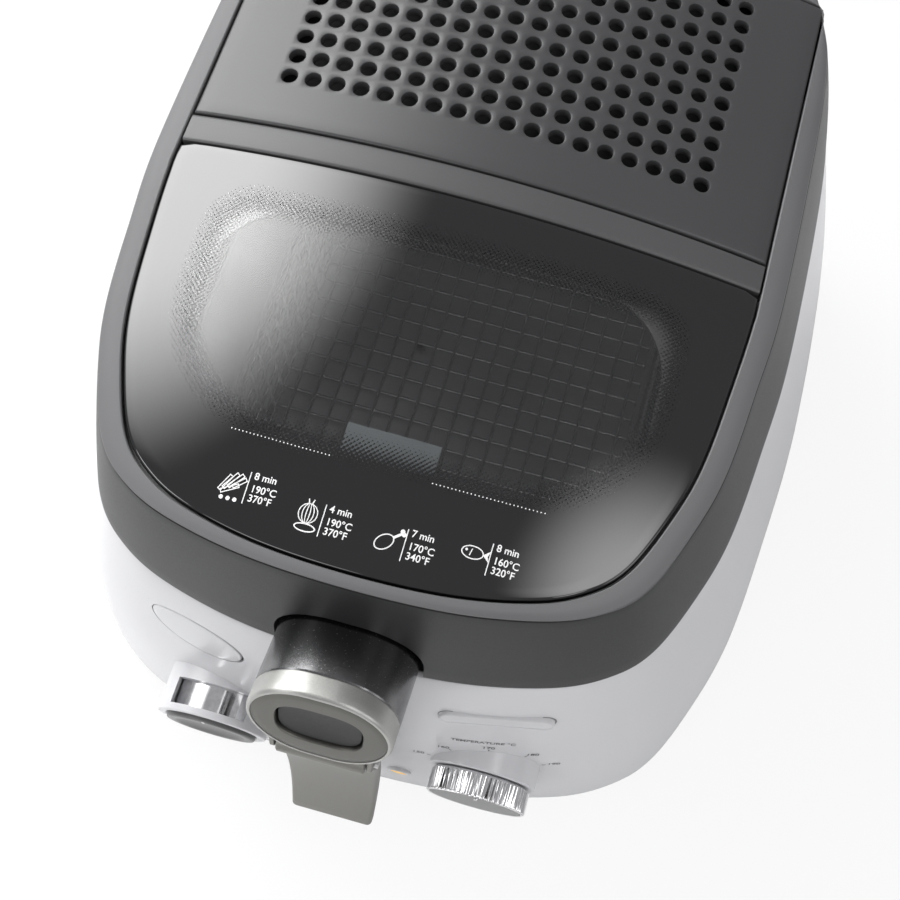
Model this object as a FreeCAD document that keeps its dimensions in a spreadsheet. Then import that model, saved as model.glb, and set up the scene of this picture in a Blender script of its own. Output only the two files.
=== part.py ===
import FreeCAD, Part
import math
import os
from FreeCAD import Placement, Rotation, Vector

doc = FreeCAD.newDocument("DeepFryer")
sheet = doc.addObject("Spreadsheet::Sheet", "Sizes")

# Driving sizes in millimetres and degrees. The frame has +Z up, the front at -Y and the table at Z 0.
SIZES = {
    # Outer body: half width, front and rear of its outline at five heights
    "foot_height": 6, "body_wall": 3, "bulge_height": 24, "waist_height": 92, "shoulder_height": 150,
    "body_top": 168,
    "hem_half": 163, "hem_front": -173, "hem_rear": 198,
    "bulge_half": 168, "bulge_front": -178, "bulge_rear": 203,
    "waist_half": 158, "waist_front": -171, "waist_rear": 199,
    "shoulder_half": 142, "shoulder_front": -160, "shoulder_rear": 193,
    "brim_half": 136, "brim_front": -155.5, "brim_rear": 190,
    # Lid: skirt outline at three heights, arched top
    "lid_seam": 1.5, "lid_wall": 3, "lid_top_wall": 4, "skirt_mid": 205, "skirt_high": 250,
    "skirt_half": 137, "skirt_front": -155.8, "skirt_rear": 186,
    "rib_half": 128, "rib_front": -149.5, "rib_rear": 180,
    "ridge_half": 115, "ridge_front": -140.5, "ridge_rear": 166,
    "lid_height": 245, "crown_sag": 12, "crown_half": 111, "nose_drop": 12, "nose_start": 2, "nose_length": 142,
    # Window, cross strip, filter cover and liner
    "window_half": 111, "window_front": -139, "window_gap": 0.8, "strip_width": 13.5,
    "cover_depth": 122, "hole_pitch": 9.45, "hole_radius": 3.1, "hole_columns": 18, "hole_rows": 10,
    "hole_first": 22.5, "liner_wall": 2, "liner_margin": 6,
    "clear_half": 84, "clear_front": -100, "clear_rear": -17, "clear_round": 28,
    "tray_depth": 12, "tray_wall": 1.5, "mat_thick": 6, "mat_gap": 0.5, "tray_half": 88,
    "tab_half": 16.7, "tab_depth": 11, "tab_thick": 2.5,
    # Oil pan, seal and deck
    "pan_half": 100, "pan_front": -105, "pan_length": 220, "pan_round": 50, "pan_floor": 55, "pan_wall": 1.2,
    "rim_width": 8, "rim_thick": 2, "deck_thick": 4, "deck_gap": 0.2, "pan_gap": 0.4,
    "seal_gap": 0.4, "seal_width": 5, "seal_tall": 3.4, "tunnel_wall": 1.5,
    # Basket and its lifting arm
    "basket_half": 86, "basket_front": -86, "basket_length": 180, "basket_round": 40, "basket_floor": 62,
    "basket_top": 140, "basket_wall": 1.6, "slot_wide": 9, "slot_tall": 9, "slot_pitch": 13,
    "arm_half": 10, "arm_thick": 4, "arm_gap": 2, "arm_slot_gap": 0.4, "arm_reach": 128, "arm_drop": 60,
    "lift_travel": 35, "arm_notch_gap": 4,
    # Handle: tilted oval barrel, collar, push button and folding lever
    "handle_y": -185.4, "handle_z": 189, "handle_tilt": 17.6, "oval_wide": 54, "oval_tall": 46,
    "barrel_length": 36, "collar_length": 9, "seat_gap": 0.15, "notch_gap": 1.6,
    "button_wide": 31, "button_tall": 23, "button_gap": 0.6, "button_length": 9, "button_sink": 1.5,
    "button_travel": 3, "pivot_gap": 0.6, "pivot_back": 7, "pin_radius": 2, "pin_gap": 0.05,
    "hub_radius": 5.5, "lever_half": 17, "lever_length": 104, "lever_thick": 6, "lever_lean": 13.5, "lever_bow": 7,
    "ear_thick": 4, "ear_gap": 0.5,
    # Controls
    "knob_x": 59, "knob_z": 79, "knob_face_y": -184.3, "knob_radius": 21.75, "knob_length": 11,
    "knob_bore": 18, "knob_skin": 3, "boss_radius": 23.5, "boss_gap": 0.5, "boss_back": -148,
    "shaft_radius": 3, "shaft_gap": 0.06, "unit_wide": 42, "unit_deep": 28,
    "cup_radius": 24, "drum_radius": 19.5, "drum_gap": 0.5, "cup_front": -182.5, "drum_length": 18,
    "slot_half": 16, "slot_depth": 11, "dish_radius": 15, "dish_depth": 2, "face_thick": 2.5,
    "lamp_x": 22, "lamp_z": 47, "lamp_radius": 4, "lamp_proud": 1.2, "lamp_length": 16,
    "release_x": -65, "release_z": 136, "release_yaw": 12, "release_pitch": 11,
    "release_wide": 42, "release_tall": 26, "release_gap": 0.5, "release_proud": 1.5, "release_length": 10,
    "guide_wall": 2.5, "guide_length": 7,
    "plate_x": 59, "plate_z": 138, "plate_yaw": 11, "plate_wide": 46, "plate_tall": 9.5,
    "plate_thick": 1, "plate_seat": 3,
    # Latch
    "hook_x": -60, "hook_half": 5, "hook_back": -131, "hook_thick": 4, "hook_pivot_z": 148, "hook_top": 181,
    "nose_gap": 0.3, "nose_thick": 3, "catch_half": 9, "catch_tall": 6, "catch_gap": 1, "catch_reach": 12.5,
    # Hinge
    "hinge_y": 195, "hinge_z": 176, "hinge_radius": 6, "hinge_pin": 2, "hinge_gap": 0.05,
    "knuckle_half": 58, "knuckle_gap": 0.5, "bracket_long": 15,
    # Underside, heater and cord inlet
    "base_thick": 3, "base_gap": 0.3, "base_rise": 4, "foot_radius": 10, "foot_x": 105, "foot_front": -105,
    "foot_rear": 150, "screw_radius": 3.5, "screw_head": 2, "screw_inset": 26,
    "heater_ring": 62, "heater_tube": 4, "sensor_radius": 6, "sensor_tall": 9,
    "post_radius": 5, "post_x": 70, "post_front": -55, "post_rear": 65,
    "gland_x": 60, "gland_z": 40, "gland_radius": 9, "gland_bore": 4, "gland_proud": 1, "gland_length": 16,
}
for row, (alias, value) in enumerate(SIZES.items(), 1):
    sheet.set("A%d" % row, alias)
    sheet.set("B%d" % row, str(value))
    sheet.setAlias("B%d" % row, alias)
doc.recompute()
nodes = []


def size(alias):
    return float(sheet.get(alias))


def bind(item, **formulas):
    """Tie properties to the sheet. Words in a formula that are aliases stand for the sheet's cells."""
    for name, formula in formulas.items():
        path = {"x": "Placement.Base.x", "y": "Placement.Base.y", "z": "Placement.Base.z"}.get(name, name)
        item.setExpression(path, tied(formula))
    return item


def tied(formula):
    out = ""
    word = ""
    for letter in str(formula) + " ":
        if letter.isalnum() or letter == "_":
            word += letter
            continue
        out += ("Sizes." + word if word in SIZES else word) + letter
        word = ""
    return out.strip()


def turned(item, rotation):
    item.Placement = Placement(item.Placement.Base, rotation)
    return item


def box(name, long, deep, tall, x, y, z):
    return bind(doc.addObject("Part::Box", name), Length=long, Width=deep, Height=tall, x=x, y=y, z=z)


def centred_box(name, half, deep, tall, y, z, x="0"):
    return box(name, "2 * (%s)" % half, deep, tall, "%s - (%s)" % (x, half), y, z)


def rod(name, radius, long, x, y, z, along="z"):
    turns = {"z": Rotation(), "y": Rotation(Vector(1, 0, 0), -90), "x": Rotation(Vector(0, 1, 0), 90)}
    item = turned(doc.addObject("Part::Cylinder", name), turns[along])
    return bind(item, Radius=radius, Height=long, x=x, y=y, z=z)


def cut(name, base, tool):
    item = doc.addObject("Part::Cut", name)
    item.Base = base
    item.Tool = tool
    return item


def fuse(name, pieces):
    item = doc.addObject("Part::MultiFuse", name)
    item.Shapes = pieces
    item.Refine = True
    return item


def group(name, pieces):
    item = doc.addObject("Part::Compound", name)
    item.Links = pieces
    return item


def node(item, label):
    item.Label = label
    nodes.append(item)
    return item


def solid(name, shape):
    item = doc.addObject("Part::Feature", name)
    item.Shape = shape
    return item


def rounded_box(name, half, front, length, corner, z, tall):
    """Upright prism with round corners, centred across the part."""
    wide = centred_box(name + "Wide", half, "%s - 2 * (%s)" % (length, corner), tall,
                       "%s + (%s)" % (front, corner), z)
    deep = centred_box(name + "Deep", "%s - (%s)" % (half, corner), length, tall, front, z)
    posts = []
    for side in (-1, 1):
        for end, place in (("Front", "%s + (%s)" % (front, corner)),
                           ("Rear", "%s + %s - (%s)" % (front, length, corner))):
            posts.append(rod("%s%s%d" % (name, end, side + 2), corner, tall,
                             "%d * (%s - (%s))" % (side, half, corner), place, z))
    return fuse(name, [wide, deep] + posts)


def oval(name, wide, tall, long, start="0"):
    """Obround prism along its own Z."""
    middle = box(name + "Middle", "%s - (%s)" % (wide, tall), tall, long,
                 "-(%s - (%s)) / 2" % (wide, tall), "-(%s) / 2" % tall, start)
    ends = [rod("%sEnd%d" % (name, side + 2), "(%s) / 2" % tall, long,
                "%d * (%s - (%s)) / 2" % (side, wide, tall), "0", start) for side in (-1, 1)]
    return fuse(name, [middle] + ends)


# Plan outline shared by the body, the skirt and the window: a broad bowed front, full front corners
# and gently drawn-in sides. Each pair is a share of the half width, measured from the front or the rear.
FRONT_CURVE = ((0, 0), (0.30, 0.017), (0.55, 0.072), (0.70, 0.145), (0.80, 0.245), (0.88, 0.42), (0.94, 0.62),
               (0.975, 0.90), (1.0, 1.25))
REAR_CURVE = ((0.985, 0.62), (0.93, 0.33), (0.80, 0.13), (0.5, 0.03), (0, 0))


def outline_points(half, front, rear):
    right = [(half * across, front + half * back) for across, back in FRONT_CURVE]
    right += [(half * across, rear - half * back) for across, back in REAR_CURVE]
    return right + [(-x, y) for x, y in reversed(right[1:-1])]


LOOP_DEPTH = 2.3


def loop_parameters():
    points = outline_points(1.0, 0.0, LOOP_DEPTH)
    steps = [0.0]
    for here, after in zip(points, points[1:] + points[:1]):
        steps.append(steps[-1] + math.dist(here, after))
    return [step / steps[-1] for step in steps]


def outline(half, front, rear, height, inset=0.0):
    """Closed curve at a height, drawn in by the inset along its own normals."""
    places = loop_parameters()
    points = [Vector(x, y, height) for x, y in outline_points(half, front, rear)]
    curve = Part.BSplineCurve()
    curve.interpolate(Points=points, PeriodicFlag=True, Parameters=places)
    if inset:
        moved = []
        for point, place in zip(points, places):
            along = curve.tangent(place)[0]
            moved.append(point + Vector(-along.y, along.x, 0).normalize() * inset)
        curve = Part.BSplineCurve()
        curve.interpolate(Points=moved, PeriodicFlag=True, Parameters=places)
    return Part.Wire([curve.toShape()])


def outline_prism(half, front, rear, low, high, inset=0.0):
    face = Part.Face(outline(half, front, rear, low, inset))
    return face.extrude(Vector(0, 0, high - low))


def skin(levels, inset=0.0):
    wires = [outline(size(name + "_half"), size(name + "_front"), size(name + "_rear"), height, inset)
             for name, height in levels]
    return Part.makeLoft(wires, True, False)


# Lid top: arched across, and falling away to the front past the cross strip
def crown_height(x, y):
    arch = size("crown_sag") * (x / size("crown_half")) ** 2
    nose = size("nose_drop") * (max(0.0, size("nose_start") - y) / size("nose_length")) ** 2
    return size("lid_height") - arch - nose


def crown_slab(down, thick):
    """Block under the lid's top surface, from a depth below it and so thick."""
    reach_x = size("bulge_half")
    reach_y = size("bulge_rear")
    across = 9
    along = 25
    rows = []
    for i in range(across):
        x = reach_x * (2 * i / (across - 1) - 1)
        row = []
        for j in range(along):
            y = reach_y * (2 * j / (along - 1) - 1)
            row.append(Vector(x, y, crown_height(x, y) - down))
        rows.append(row)
    surface = Part.BSplineSurface()
    surface.interpolate(rows)
    return surface.toShape().extrude(Vector(0, 0, -thick))


BODY_LEVELS = [("hem", size("foot_height")), ("bulge", size("bulge_height")), ("waist", size("waist_height")),
               ("shoulder", size("shoulder_height")), ("brim", size("body_top"))]
lid_base = size("body_top") + size("lid_seam")
LID_LEVELS = [("skirt", lid_base), ("rib", size("skirt_mid")), ("ridge", size("skirt_high"))]

# Handle frame: the local Z runs out of the face, the local Y runs up it
HANDLE_TURN = Rotation(Vector(1, 0, 0), 90 - size("handle_tilt"))
HANDLE_OUT = HANDLE_TURN.multVec(Vector(0, 0, 1))
HANDLE_UP = HANDLE_TURN.multVec(Vector(0, 1, 0))
HANDLE_FACE = Vector(0, size("handle_y"), size("handle_z"))


def on_handle(item):
    item.Placement = Placement(HANDLE_FACE, HANDLE_TURN)
    return item


body_outer = skin(BODY_LEVELS)
body_inner = skin(BODY_LEVELS, size("body_wall"))


def wall_front(x, z):
    """Front of the outer wall at a place across and up."""
    probe = Part.makeLine(Vector(x, 2 * size("bulge_front"), z), Vector(x, 0, z))
    return min(point.Y for point in body_outer.common(probe).Vertexes)


def on_wall(item, name):
    """Stand a piece on the outer wall, its local Z pointing out."""
    seat = Vector(size(name + "_x"), wall_front(size(name + "_x"), size(name + "_z")), size(name + "_z"))
    turn = Rotation(Vector(0, 0, 1), -size(name + "_yaw") * math.copysign(1, -size(name + "_x")))
    lean = Rotation(Vector(1, 0, 0), 90 - size("release_pitch"))
    item.Placement = Placement(seat, turn.multiply(lean))
    return item


# Outer body: one flared wall, open above and below, with seats for what passes through it
barrel_space = on_handle(oval("BarrelSpace", "oval_wide + 2 * seat_gap", "oval_tall + 2 * seat_gap",
                              "barrel_length + collar_length", "-(barrel_length + collar_length)"))
release_space = on_wall(oval("ReleaseSpace", "release_wide + 2 * release_gap", "release_tall + 2 * release_gap",
                             "2 * release_length", "-release_length"), "release")
body_wall = solid("BodyWall", body_outer.cut(body_inner))
control_spaces = []
for side, radius in ((1, "boss_radius"), (-1, "cup_radius")):
    control_spaces.append(rod("ControlSpace%d" % (side + 2), radius, "boss_back - bulge_front", "%d * knob_x" % side,
                              "bulge_front", "knob_z", "y"))
lamp_space = rod("LampSpace", "lamp_radius", "lamp_length * 2", "lamp_x", "bulge_front - lamp_length", "lamp_z", "y")
gland_space = rod("GlandSpace", "gland_radius", "gland_length * 2", "gland_x", "bulge_rear - gland_length", "gland_z",
                  "y")
body_spaces = fuse("BodySpaces", [barrel_space, release_space, lamp_space, gland_space] + control_spaces)
node(cut("OuterBody", body_wall, body_spaces), "outer_body")

# Deck inside the brim, which carries the pan by its rim
deck_low = size("body_top") - size("deck_thick") - 1
deck_top = size("body_top") - 1
deck_plate = solid("DeckPlate", skin(BODY_LEVELS, size("body_wall") + size("deck_gap")).common(
    Part.makeBox(4 * size("bulge_half"), 4 * size("bulge_rear"), size("deck_thick"),
                 Vector(-2 * size("bulge_half"), -2 * size("bulge_rear"), deck_low))))
deck_hole = rounded_box("DeckHole", "pan_half + pan_gap", "pan_front - pan_gap", "pan_length + 2 * pan_gap",
                        "pan_round + pan_gap", "pan_floor", "body_top")
arm_slot = centred_box("ArmSlot", "arm_half + arm_slot_gap", "arm_thick + 2 * arm_slot_gap", "body_top",
                       "-arm_reach - arm_slot_gap", "pan_floor")
hook_slot = centred_box("HookSlot", "hook_half + 1", "hook_thick + 14", "deck_thick + 2",
                        "hook_back - hook_thick - 4", "body_top - deck_thick - 2", "hook_x")
node(cut("InnerDeck", deck_plate, fuse("DeckSpaces", [deck_hole, arm_slot, hook_slot, barrel_space])), "inner_deck")

# Oil pan
pan_outer = rounded_box("PanOuter", "pan_half", "pan_front", "pan_length", "pan_round", "pan_floor",
                        "body_top - 1 + rim_thick - pan_floor")
pan_rim = rounded_box("PanRim", "pan_half + rim_width", "pan_front - rim_width", "pan_length + 2 * rim_width",
                      "pan_round + rim_width", "body_top - 1", "rim_thick")
pan_inner = rounded_box("PanInner", "pan_half - pan_wall", "pan_front + pan_wall", "pan_length - 2 * pan_wall",
                        "pan_round - pan_wall", "pan_floor + pan_wall", "body_top")
node(cut("OilPan", fuse("PanSolid", [pan_outer, pan_rim]), pan_inner), "oil_pan")

# Heating ring and heat sensor under the pan floor, on posts from the base plate
heater = doc.addObject("Part::Torus", "Heater")
bind(heater, Radius1="heater_ring", Radius2="heater_tube", y="pan_front + pan_length / 2",
     z="pan_floor - heater_tube")
node(heater, "heating_ring")
node(rod("Sensor", "sensor_radius", "sensor_tall", "0", "pan_front + pan_length / 2", "pan_floor - sensor_tall"),
     "heat_sensor")
plate_top = "foot_height + base_rise + base_thick"
posts = [rod("PanPost%d%s" % (side + 2, end), "post_radius", "pan_floor - (%s)" % plate_top, "%d * post_x" % side,
             place, plate_top) for side in (-1, 1) for end, place in (("Front", "post_front"), ("Rear", "post_rear"))]
node(group("PanPosts", posts), "pan_posts")

# Base plate, feet and their screws
plate_low = size("foot_height") + size("base_rise")
node(solid("BasePlate", skin(BODY_LEVELS, size("body_wall") + size("base_gap")).common(
    Part.makeBox(4 * size("bulge_half"), 4 * size("bulge_rear"), size("base_thick"),
                 Vector(-2 * size("bulge_half"), -2 * size("bulge_rear"), plate_low)))), "base_plate")
feet = []
screws = []
for side in (-1, 1):
    for end in ("front", "rear"):
        tag = "%d%s" % (side + 2, end)
        feet.append(rod("Foot" + tag, "foot_radius", "foot_height + base_rise", "%d * foot_x" % side, "foot_" + end, "0"))
        screws.append(rod("Screw" + tag, "screw_radius", "screw_head", "%d * (foot_x - screw_inset)" % side,
                          "foot_" + end, "foot_height + base_rise - screw_head"))
node(group("Feet", feet), "feet")
node(group("BaseScrews", screws), "base_screws")

# Lid frame: skirt and arched top in one moulding, with the cross strip between window and filter cover
outer = skin(LID_LEVELS).common(crown_slab(0, size("lid_height")))
lid_inner = skin(LID_LEVELS, size("lid_wall"))
inner = lid_inner.common(crown_slab(size("lid_top_wall"), size("lid_height")))
strip_front = size("nose_start")
cover_front = strip_front + size("strip_width")
high = 2 * size("lid_height")


def window_prism(grow):
    """Upright block of the window's outline, grown all round, in front of the cross strip."""
    rear = size("window_front") + LOOP_DEPTH * size("window_half")
    prism = outline_prism(size("window_half"), size("window_front"), rear, lid_base, high, -grow)
    keep = Part.makeBox(4 * size("window_half"), 2 * rear, high,
                        Vector(-2 * size("window_half"), strip_front + grow - 2 * rear, lid_base))
    return prism.common(keep)


def cover_block(grow):
    half = size("window_half") + grow
    return Part.makeBox(2 * half, size("cover_depth") + 2 * grow, high, Vector(-half, cover_front - grow, lid_base))


frame_shell = outer.cut(inner).cut(window_prism(size("window_gap"))).cut(cover_block(size("window_gap")))
notch_oval = on_handle(oval("NotchOval", "oval_wide + 2 * notch_gap", "oval_tall + 2 * notch_gap",
                            "barrel_length + 2 * collar_length", "-(barrel_length + collar_length)"))
notch_low = centred_box("NotchLow", "oval_wide / 2 + notch_gap", "40", "handle_z - body_top - 8", "skirt_front - 20",
                        "body_top")
lid_notch = fuse("LidNotch", [notch_oval, notch_low])
knuckle = rod("Knuckle", "hinge_radius", "2 * knuckle_half", "-knuckle_half", "hinge_y", "hinge_z", "x")
knuckle_web = centred_box("KnuckleWeb", "knuckle_half", "hinge_y - skirt_rear + 2 * lid_wall", "hinge_radius",
                          "skirt_rear - 2 * lid_wall", "hinge_z")
knuckle_tail = fuse("KnuckleTail", [knuckle, knuckle_web])
lid_bore = rod("LidBore", "hinge_pin + hinge_gap", "4 * knuckle_half", "-2 * knuckle_half", "hinge_y", "hinge_z",
               "x")
doc.recompute()
tail = knuckle_tail.Shape.cut(inner).cut(lid_bore.Shape)
node(solid("LidFrame", frame_shell.cut(lid_notch.Shape).fuse(tail)), "lid_frame")

# Window panel, filter cover, filter mat and its tray
window_slab = crown_slab(0, size("lid_top_wall"))
node(solid("LidWindow", window_prism(0).common(window_slab)), "lid_window")
cover_plate = cover_block(0).common(window_slab)
holes = []
for row in range(int(size("hole_rows"))):
    for column in range(int(size("hole_columns"))):
        x = size("hole_pitch") * (column - (size("hole_columns") - 1) / 2)
        y = cover_front + size("hole_first") + size("hole_pitch") * row
        holes.append(Part.makeCylinder(size("hole_radius"), high, Vector(x, y, lid_base)))
node(solid("FilterCover", cover_plate.cut(Part.makeCompound(holes))), "filter_cover")

tray_depth = size("cover_depth") - size("liner_margin")
tray_front = cover_front + size("liner_margin") / 2


def tray_block(drawn_in):
    half = size("tray_half") - drawn_in
    return Part.makeBox(2 * half, tray_depth - 2 * drawn_in, high, Vector(-half, tray_front + drawn_in, lid_base))


top = size("lid_top_wall")
liner_low = top + size("liner_wall")
tray_open = tray_block(size("tray_wall"))
tray = tray_block(0).common(crown_slab(liner_low, size("tray_depth")))
tray = tray.cut(tray_open.common(crown_slab(0, liner_low + size("tray_depth") - size("tray_wall"))))
node(solid("FilterTray", tray), "filter_tray")
mat_low = liner_low + size("tray_depth") - size("tray_wall")
mat = tray_block(size("tray_wall") + size("mat_gap")).common(crown_slab(mat_low - size("mat_thick"), size("mat_thick")))
node(solid("FilterMat", mat), "filter_mat")

# Liner under the lid top with the wall of the steam space, and the seal on the pan's rim
clear_hole = rounded_box("ClearHole", "clear_half", "clear_front", "clear_rear - clear_front", "clear_round",
                         "body_top", "lid_height")
seal_low = "body_top - 1 + rim_thick + seal_gap"
space_outer = rounded_box("SpaceOuter", "pan_half + seal_width / 2 + tunnel_wall",
                          "pan_front - seal_width / 2 - tunnel_wall",
                          "pan_length + seal_width + 2 * tunnel_wall", "pan_round + seal_width / 2 + tunnel_wall",
                          seal_low + " + seal_tall", "lid_height - body_top")
space_inner = rounded_box("SpaceInner", "pan_half + seal_width / 2", "pan_front - seal_width / 2",
                          "pan_length + seal_width", "pan_round + seal_width / 2", "body_top", "lid_height")
seal_outer = rounded_box("SealOuter", "pan_half + seal_width", "pan_front - seal_width",
                         "pan_length + 2 * seal_width", "pan_round + seal_width", seal_low, "seal_tall")
seal_inner = rounded_box("SealInner", "pan_half", "pan_front", "pan_length", "pan_round", "body_top", "lid_height")
arm_notch = centred_box("ArmNotch", "arm_half + arm_notch_gap", "60",
                        "arm_gap + arm_thick + lift_travel + arm_notch_gap + rim_thick", "-arm_reach - 10", "body_top - 1")
node(cut("LidSeal", cut("SealRing", seal_outer, seal_inner), arm_notch), "lid_seal")
doc.recompute()
liner_rear = size("ridge_rear") - 2 * size("liner_margin")
liner = outline_prism(size("window_half"), size("window_front"), liner_rear, lid_base, high, -size("liner_margin") / 2)
liner = liner.common(crown_slab(top, size("liner_wall")))
wall = space_outer.Shape.cut(space_inner.Shape).common(crown_slab(liner_low, size("lid_height")))
tray_space = tray_block(0).common(crown_slab(liner_low, size("tray_depth")))
liner = liner.fuse(wall).cut(clear_hole.Shape).cut(tray_open).cut(tray_space).cut(arm_notch.Shape)
node(solid("LidLiner", liner.removeSplitter()), "lid_liner")
tab = Part.makeBox(2 * size("tab_half"), size("tab_depth"), high,
                   Vector(-size("tab_half"), size("clear_front"), lid_base)).common(crown_slab(top, size("tab_thick")))
node(solid("WindowTab", tab), "window_tab")

# Basket: pierced walls and floor, hung on a flat arm that passes over the pan's rim
basket_outer = rounded_box("BasketOuter", "basket_half", "basket_front", "basket_length", "basket_round",
                           "basket_floor", "basket_top - basket_floor")
basket_inner = rounded_box("BasketInner", "basket_half - basket_wall", "basket_front + basket_wall",
                           "basket_length - 2 * basket_wall", "basket_round - basket_wall",
                           "basket_floor + basket_wall", "basket_top")
doc.recompute()
cutters = []
columns = int((size("basket_half") - size("basket_round")) // size("slot_pitch"))
middle = size("basket_front") + size("basket_length") / 2
reach = 2 * size("basket_half")
for level in range(5):
    z = size("basket_floor") + 8 + size("slot_pitch") * level
    for step in range(-columns, columns + 1):
        across = size("slot_pitch") * step - size("slot_wide") / 2
        cutters.append(Part.makeBox(size("slot_wide"), 2 * reach, size("slot_tall"),
                                    Vector(across, middle - reach, z)))
        cutters.append(Part.makeBox(2 * reach, size("slot_wide"), size("slot_tall"),
                                    Vector(-reach, middle + across, z)))
for step in range(-columns - 2, columns + 3):
    for place in range(-columns - 2, columns + 3):
        cutters.append(Part.makeBox(size("slot_wide"), size("slot_wide"), 2 * size("basket_wall"),
                                    Vector(size("slot_pitch") * step - size("slot_wide") / 2,
                                           middle + size("slot_pitch") * place - size("slot_wide") / 2,
                                           size("basket_floor") - size("basket_wall") / 2)))
basket = basket_outer.Shape.cut(basket_inner.Shape).cut(Part.makeCompound(cutters))
# Floor, four flat walls and four corners, welded edge to edge
floor_top = size("basket_floor") + size("basket_wall")
side_edge = size("basket_half") - size("basket_round")
end_edge = size("basket_length") / 2 - size("basket_round")
panels = [basket.common(Part.makeBox(2 * reach, 2 * reach, floor_top, Vector(-reach, middle - reach, 0)))]
for left, right in ((-reach, -side_edge), (-side_edge, side_edge), (side_edge, reach)):
    for near, far in ((-reach, -end_edge), (-end_edge, end_edge), (end_edge, reach)):
        if left * right < 0 and near * far < 0:
            continue
        panels.append(basket.common(Part.makeBox(right - left, far - near, size("basket_top"),
                                                 Vector(left, middle + near, floor_top))))
node(solid("Basket", Part.makeCompound([piece for panel in panels for piece in panel.Solids])), "fry_basket")
arm_low = "body_top - 1 + rim_thick + arm_gap"
arm_flat = centred_box("ArmFlat", "arm_half", "arm_reach + basket_front", "arm_thick", "-arm_reach", arm_low)
arm_leg = centred_box("ArmLeg", "arm_half", "arm_thick", "arm_drop", "-arm_reach",
                      "%s + arm_thick - arm_drop" % arm_low)
arm_plate = centred_box("ArmPlate", "arm_half", "arm_thick", "%s + arm_thick - basket_top + 20" % arm_low,
                        "basket_front - arm_thick", "basket_top - 20")
node(fuse("BasketArm", [arm_flat, arm_leg, arm_plate]), "basket_arm")

# Handle: barrel in the body, collar with its push button, lever folding on a pin
button_space = on_handle(oval("ButtonSpace", "button_wide + 2 * button_gap", "button_tall + 2 * button_gap",
                              "button_length + button_sink + button_travel + 2",
                              "-(button_length + button_sink + button_travel + 1)"))
barrel_solid = on_handle(oval("BarrelSolid", "oval_wide", "oval_tall", "barrel_length",
                              "-(barrel_length + collar_length)"))
collar_solid = on_handle(oval("CollarSolid", "oval_wide", "oval_tall", "collar_length", "-collar_length"))
doc.recompute()
pivot_drop = size("oval_tall") / 2 + size("hub_radius") + size("pivot_gap")
pivot = HANDLE_FACE - HANDLE_UP * pivot_drop - HANDLE_OUT * size("pivot_back")


def pivot_rod(radius, half):
    return Part.makeCylinder(radius, 2 * half, pivot - Vector(half, 0, 0), Vector(1, 0, 0))


ear_in = size("lever_half") + size("ear_gap")
ear_out = ear_in + size("ear_thick")
ears = []
for side in (-1, 1):
    start = pivot + Vector(ear_in if side > 0 else -ear_out, 0, 0)
    ear = Part.makeCylinder(size("hub_radius"), size("ear_thick"), start, Vector(1, 0, 0))
    web = Part.makeBox(size("ear_thick"), pivot_drop, 2 * size("hub_radius"))
    web.Placement = Placement(start - HANDLE_OUT * size("hub_radius"), HANDLE_TURN)
    ears.append(ear.fuse(web))
carrier = barrel_solid.Shape.fuse(ears).cut(button_space.Shape).cut(collar_solid.Shape)
node(solid("HandleBarrel", carrier.cut(pivot_rod(size("pin_radius"), ear_out + 1)).removeSplitter()), "handle_barrel")
node(cut("HandleCollar", collar_solid, button_space), "handle_collar")
node(on_handle(oval("HandleButton", "button_wide", "button_tall", "button_length",
                    "-(button_length + button_sink)")), "handle_button")
node(solid("LeverPin", pivot_rod(size("pin_radius"), ear_out)), "lever_pin")

# Lever blade: bowed strip hanging from its hub, leaning a little forward
foot_point = pivot + Vector(0, -size("lever_lean"), -size("lever_length") + size("hub_radius"))
bow_mid = (pivot + foot_point) * 0.5 + Vector(0, size("lever_bow"), 0)
half_thick = size("lever_thick") / 2
ahead = Vector(0, -half_thick, 0)
front_arc = Part.Arc(pivot + ahead, bow_mid + ahead, foot_point + ahead)
rear_arc = Part.Arc(foot_point - ahead, bow_mid - ahead, pivot - ahead)
blade_wire = Part.Wire([front_arc.toShape(), Part.makeLine(foot_point + ahead, foot_point - ahead),
                        rear_arc.toShape(), Part.makeLine(pivot - ahead, pivot + ahead)])
blade = Part.Face(blade_wire).extrude(Vector(2 * size("lever_half"), 0, 0))
blade.translate(Vector(-size("lever_half"), 0, 0))
lever = blade.fuse(pivot_rod(size("hub_radius"), size("lever_half")))
lever = lever.cut(pivot_rod(size("pin_radius") + size("pin_gap"), ear_out))
node(solid("HandleLever", lever.removeSplitter()), "handle_lever")

# Thermostat: boss on the body, knurled ring, face disc, shaft and switch unit
boss = rod("Boss", "boss_radius", "boss_back - knob_face_y - knob_length - boss_gap", "knob_x",
           "knob_face_y + knob_length + boss_gap", "knob_z", "y")
boss_bore = rod("BossBore", "shaft_radius + shaft_gap", "60", "knob_x", "knob_face_y", "knob_z", "y")
node(cut("ThermostatBoss", boss, boss_bore), "thermostat_boss")
ring = rod("Ring", "knob_radius", "knob_length", "knob_x", "knob_face_y", "knob_z", "y")
ring_bore = rod("RingBore", "knob_bore", "knob_length - knob_skin", "knob_x", "knob_face_y", "knob_z", "y")
shaft_seat = rod("ShaftSeat", "shaft_radius", "60", "knob_x", "knob_face_y", "knob_z", "y")
node(cut("KnobRing", ring, fuse("RingSpaces", [ring_bore, shaft_seat])), "knob_ring")
face = rod("Face", "knob_bore", "knob_length - knob_skin - 1", "knob_x", "knob_face_y + 1", "knob_z", "y")
node(cut("KnobFace", face, rod("FaceSeat", "shaft_radius", "60", "knob_x", "knob_face_y + 1 + face_thick", "knob_z",
                               "y")), "knob_face")
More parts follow.
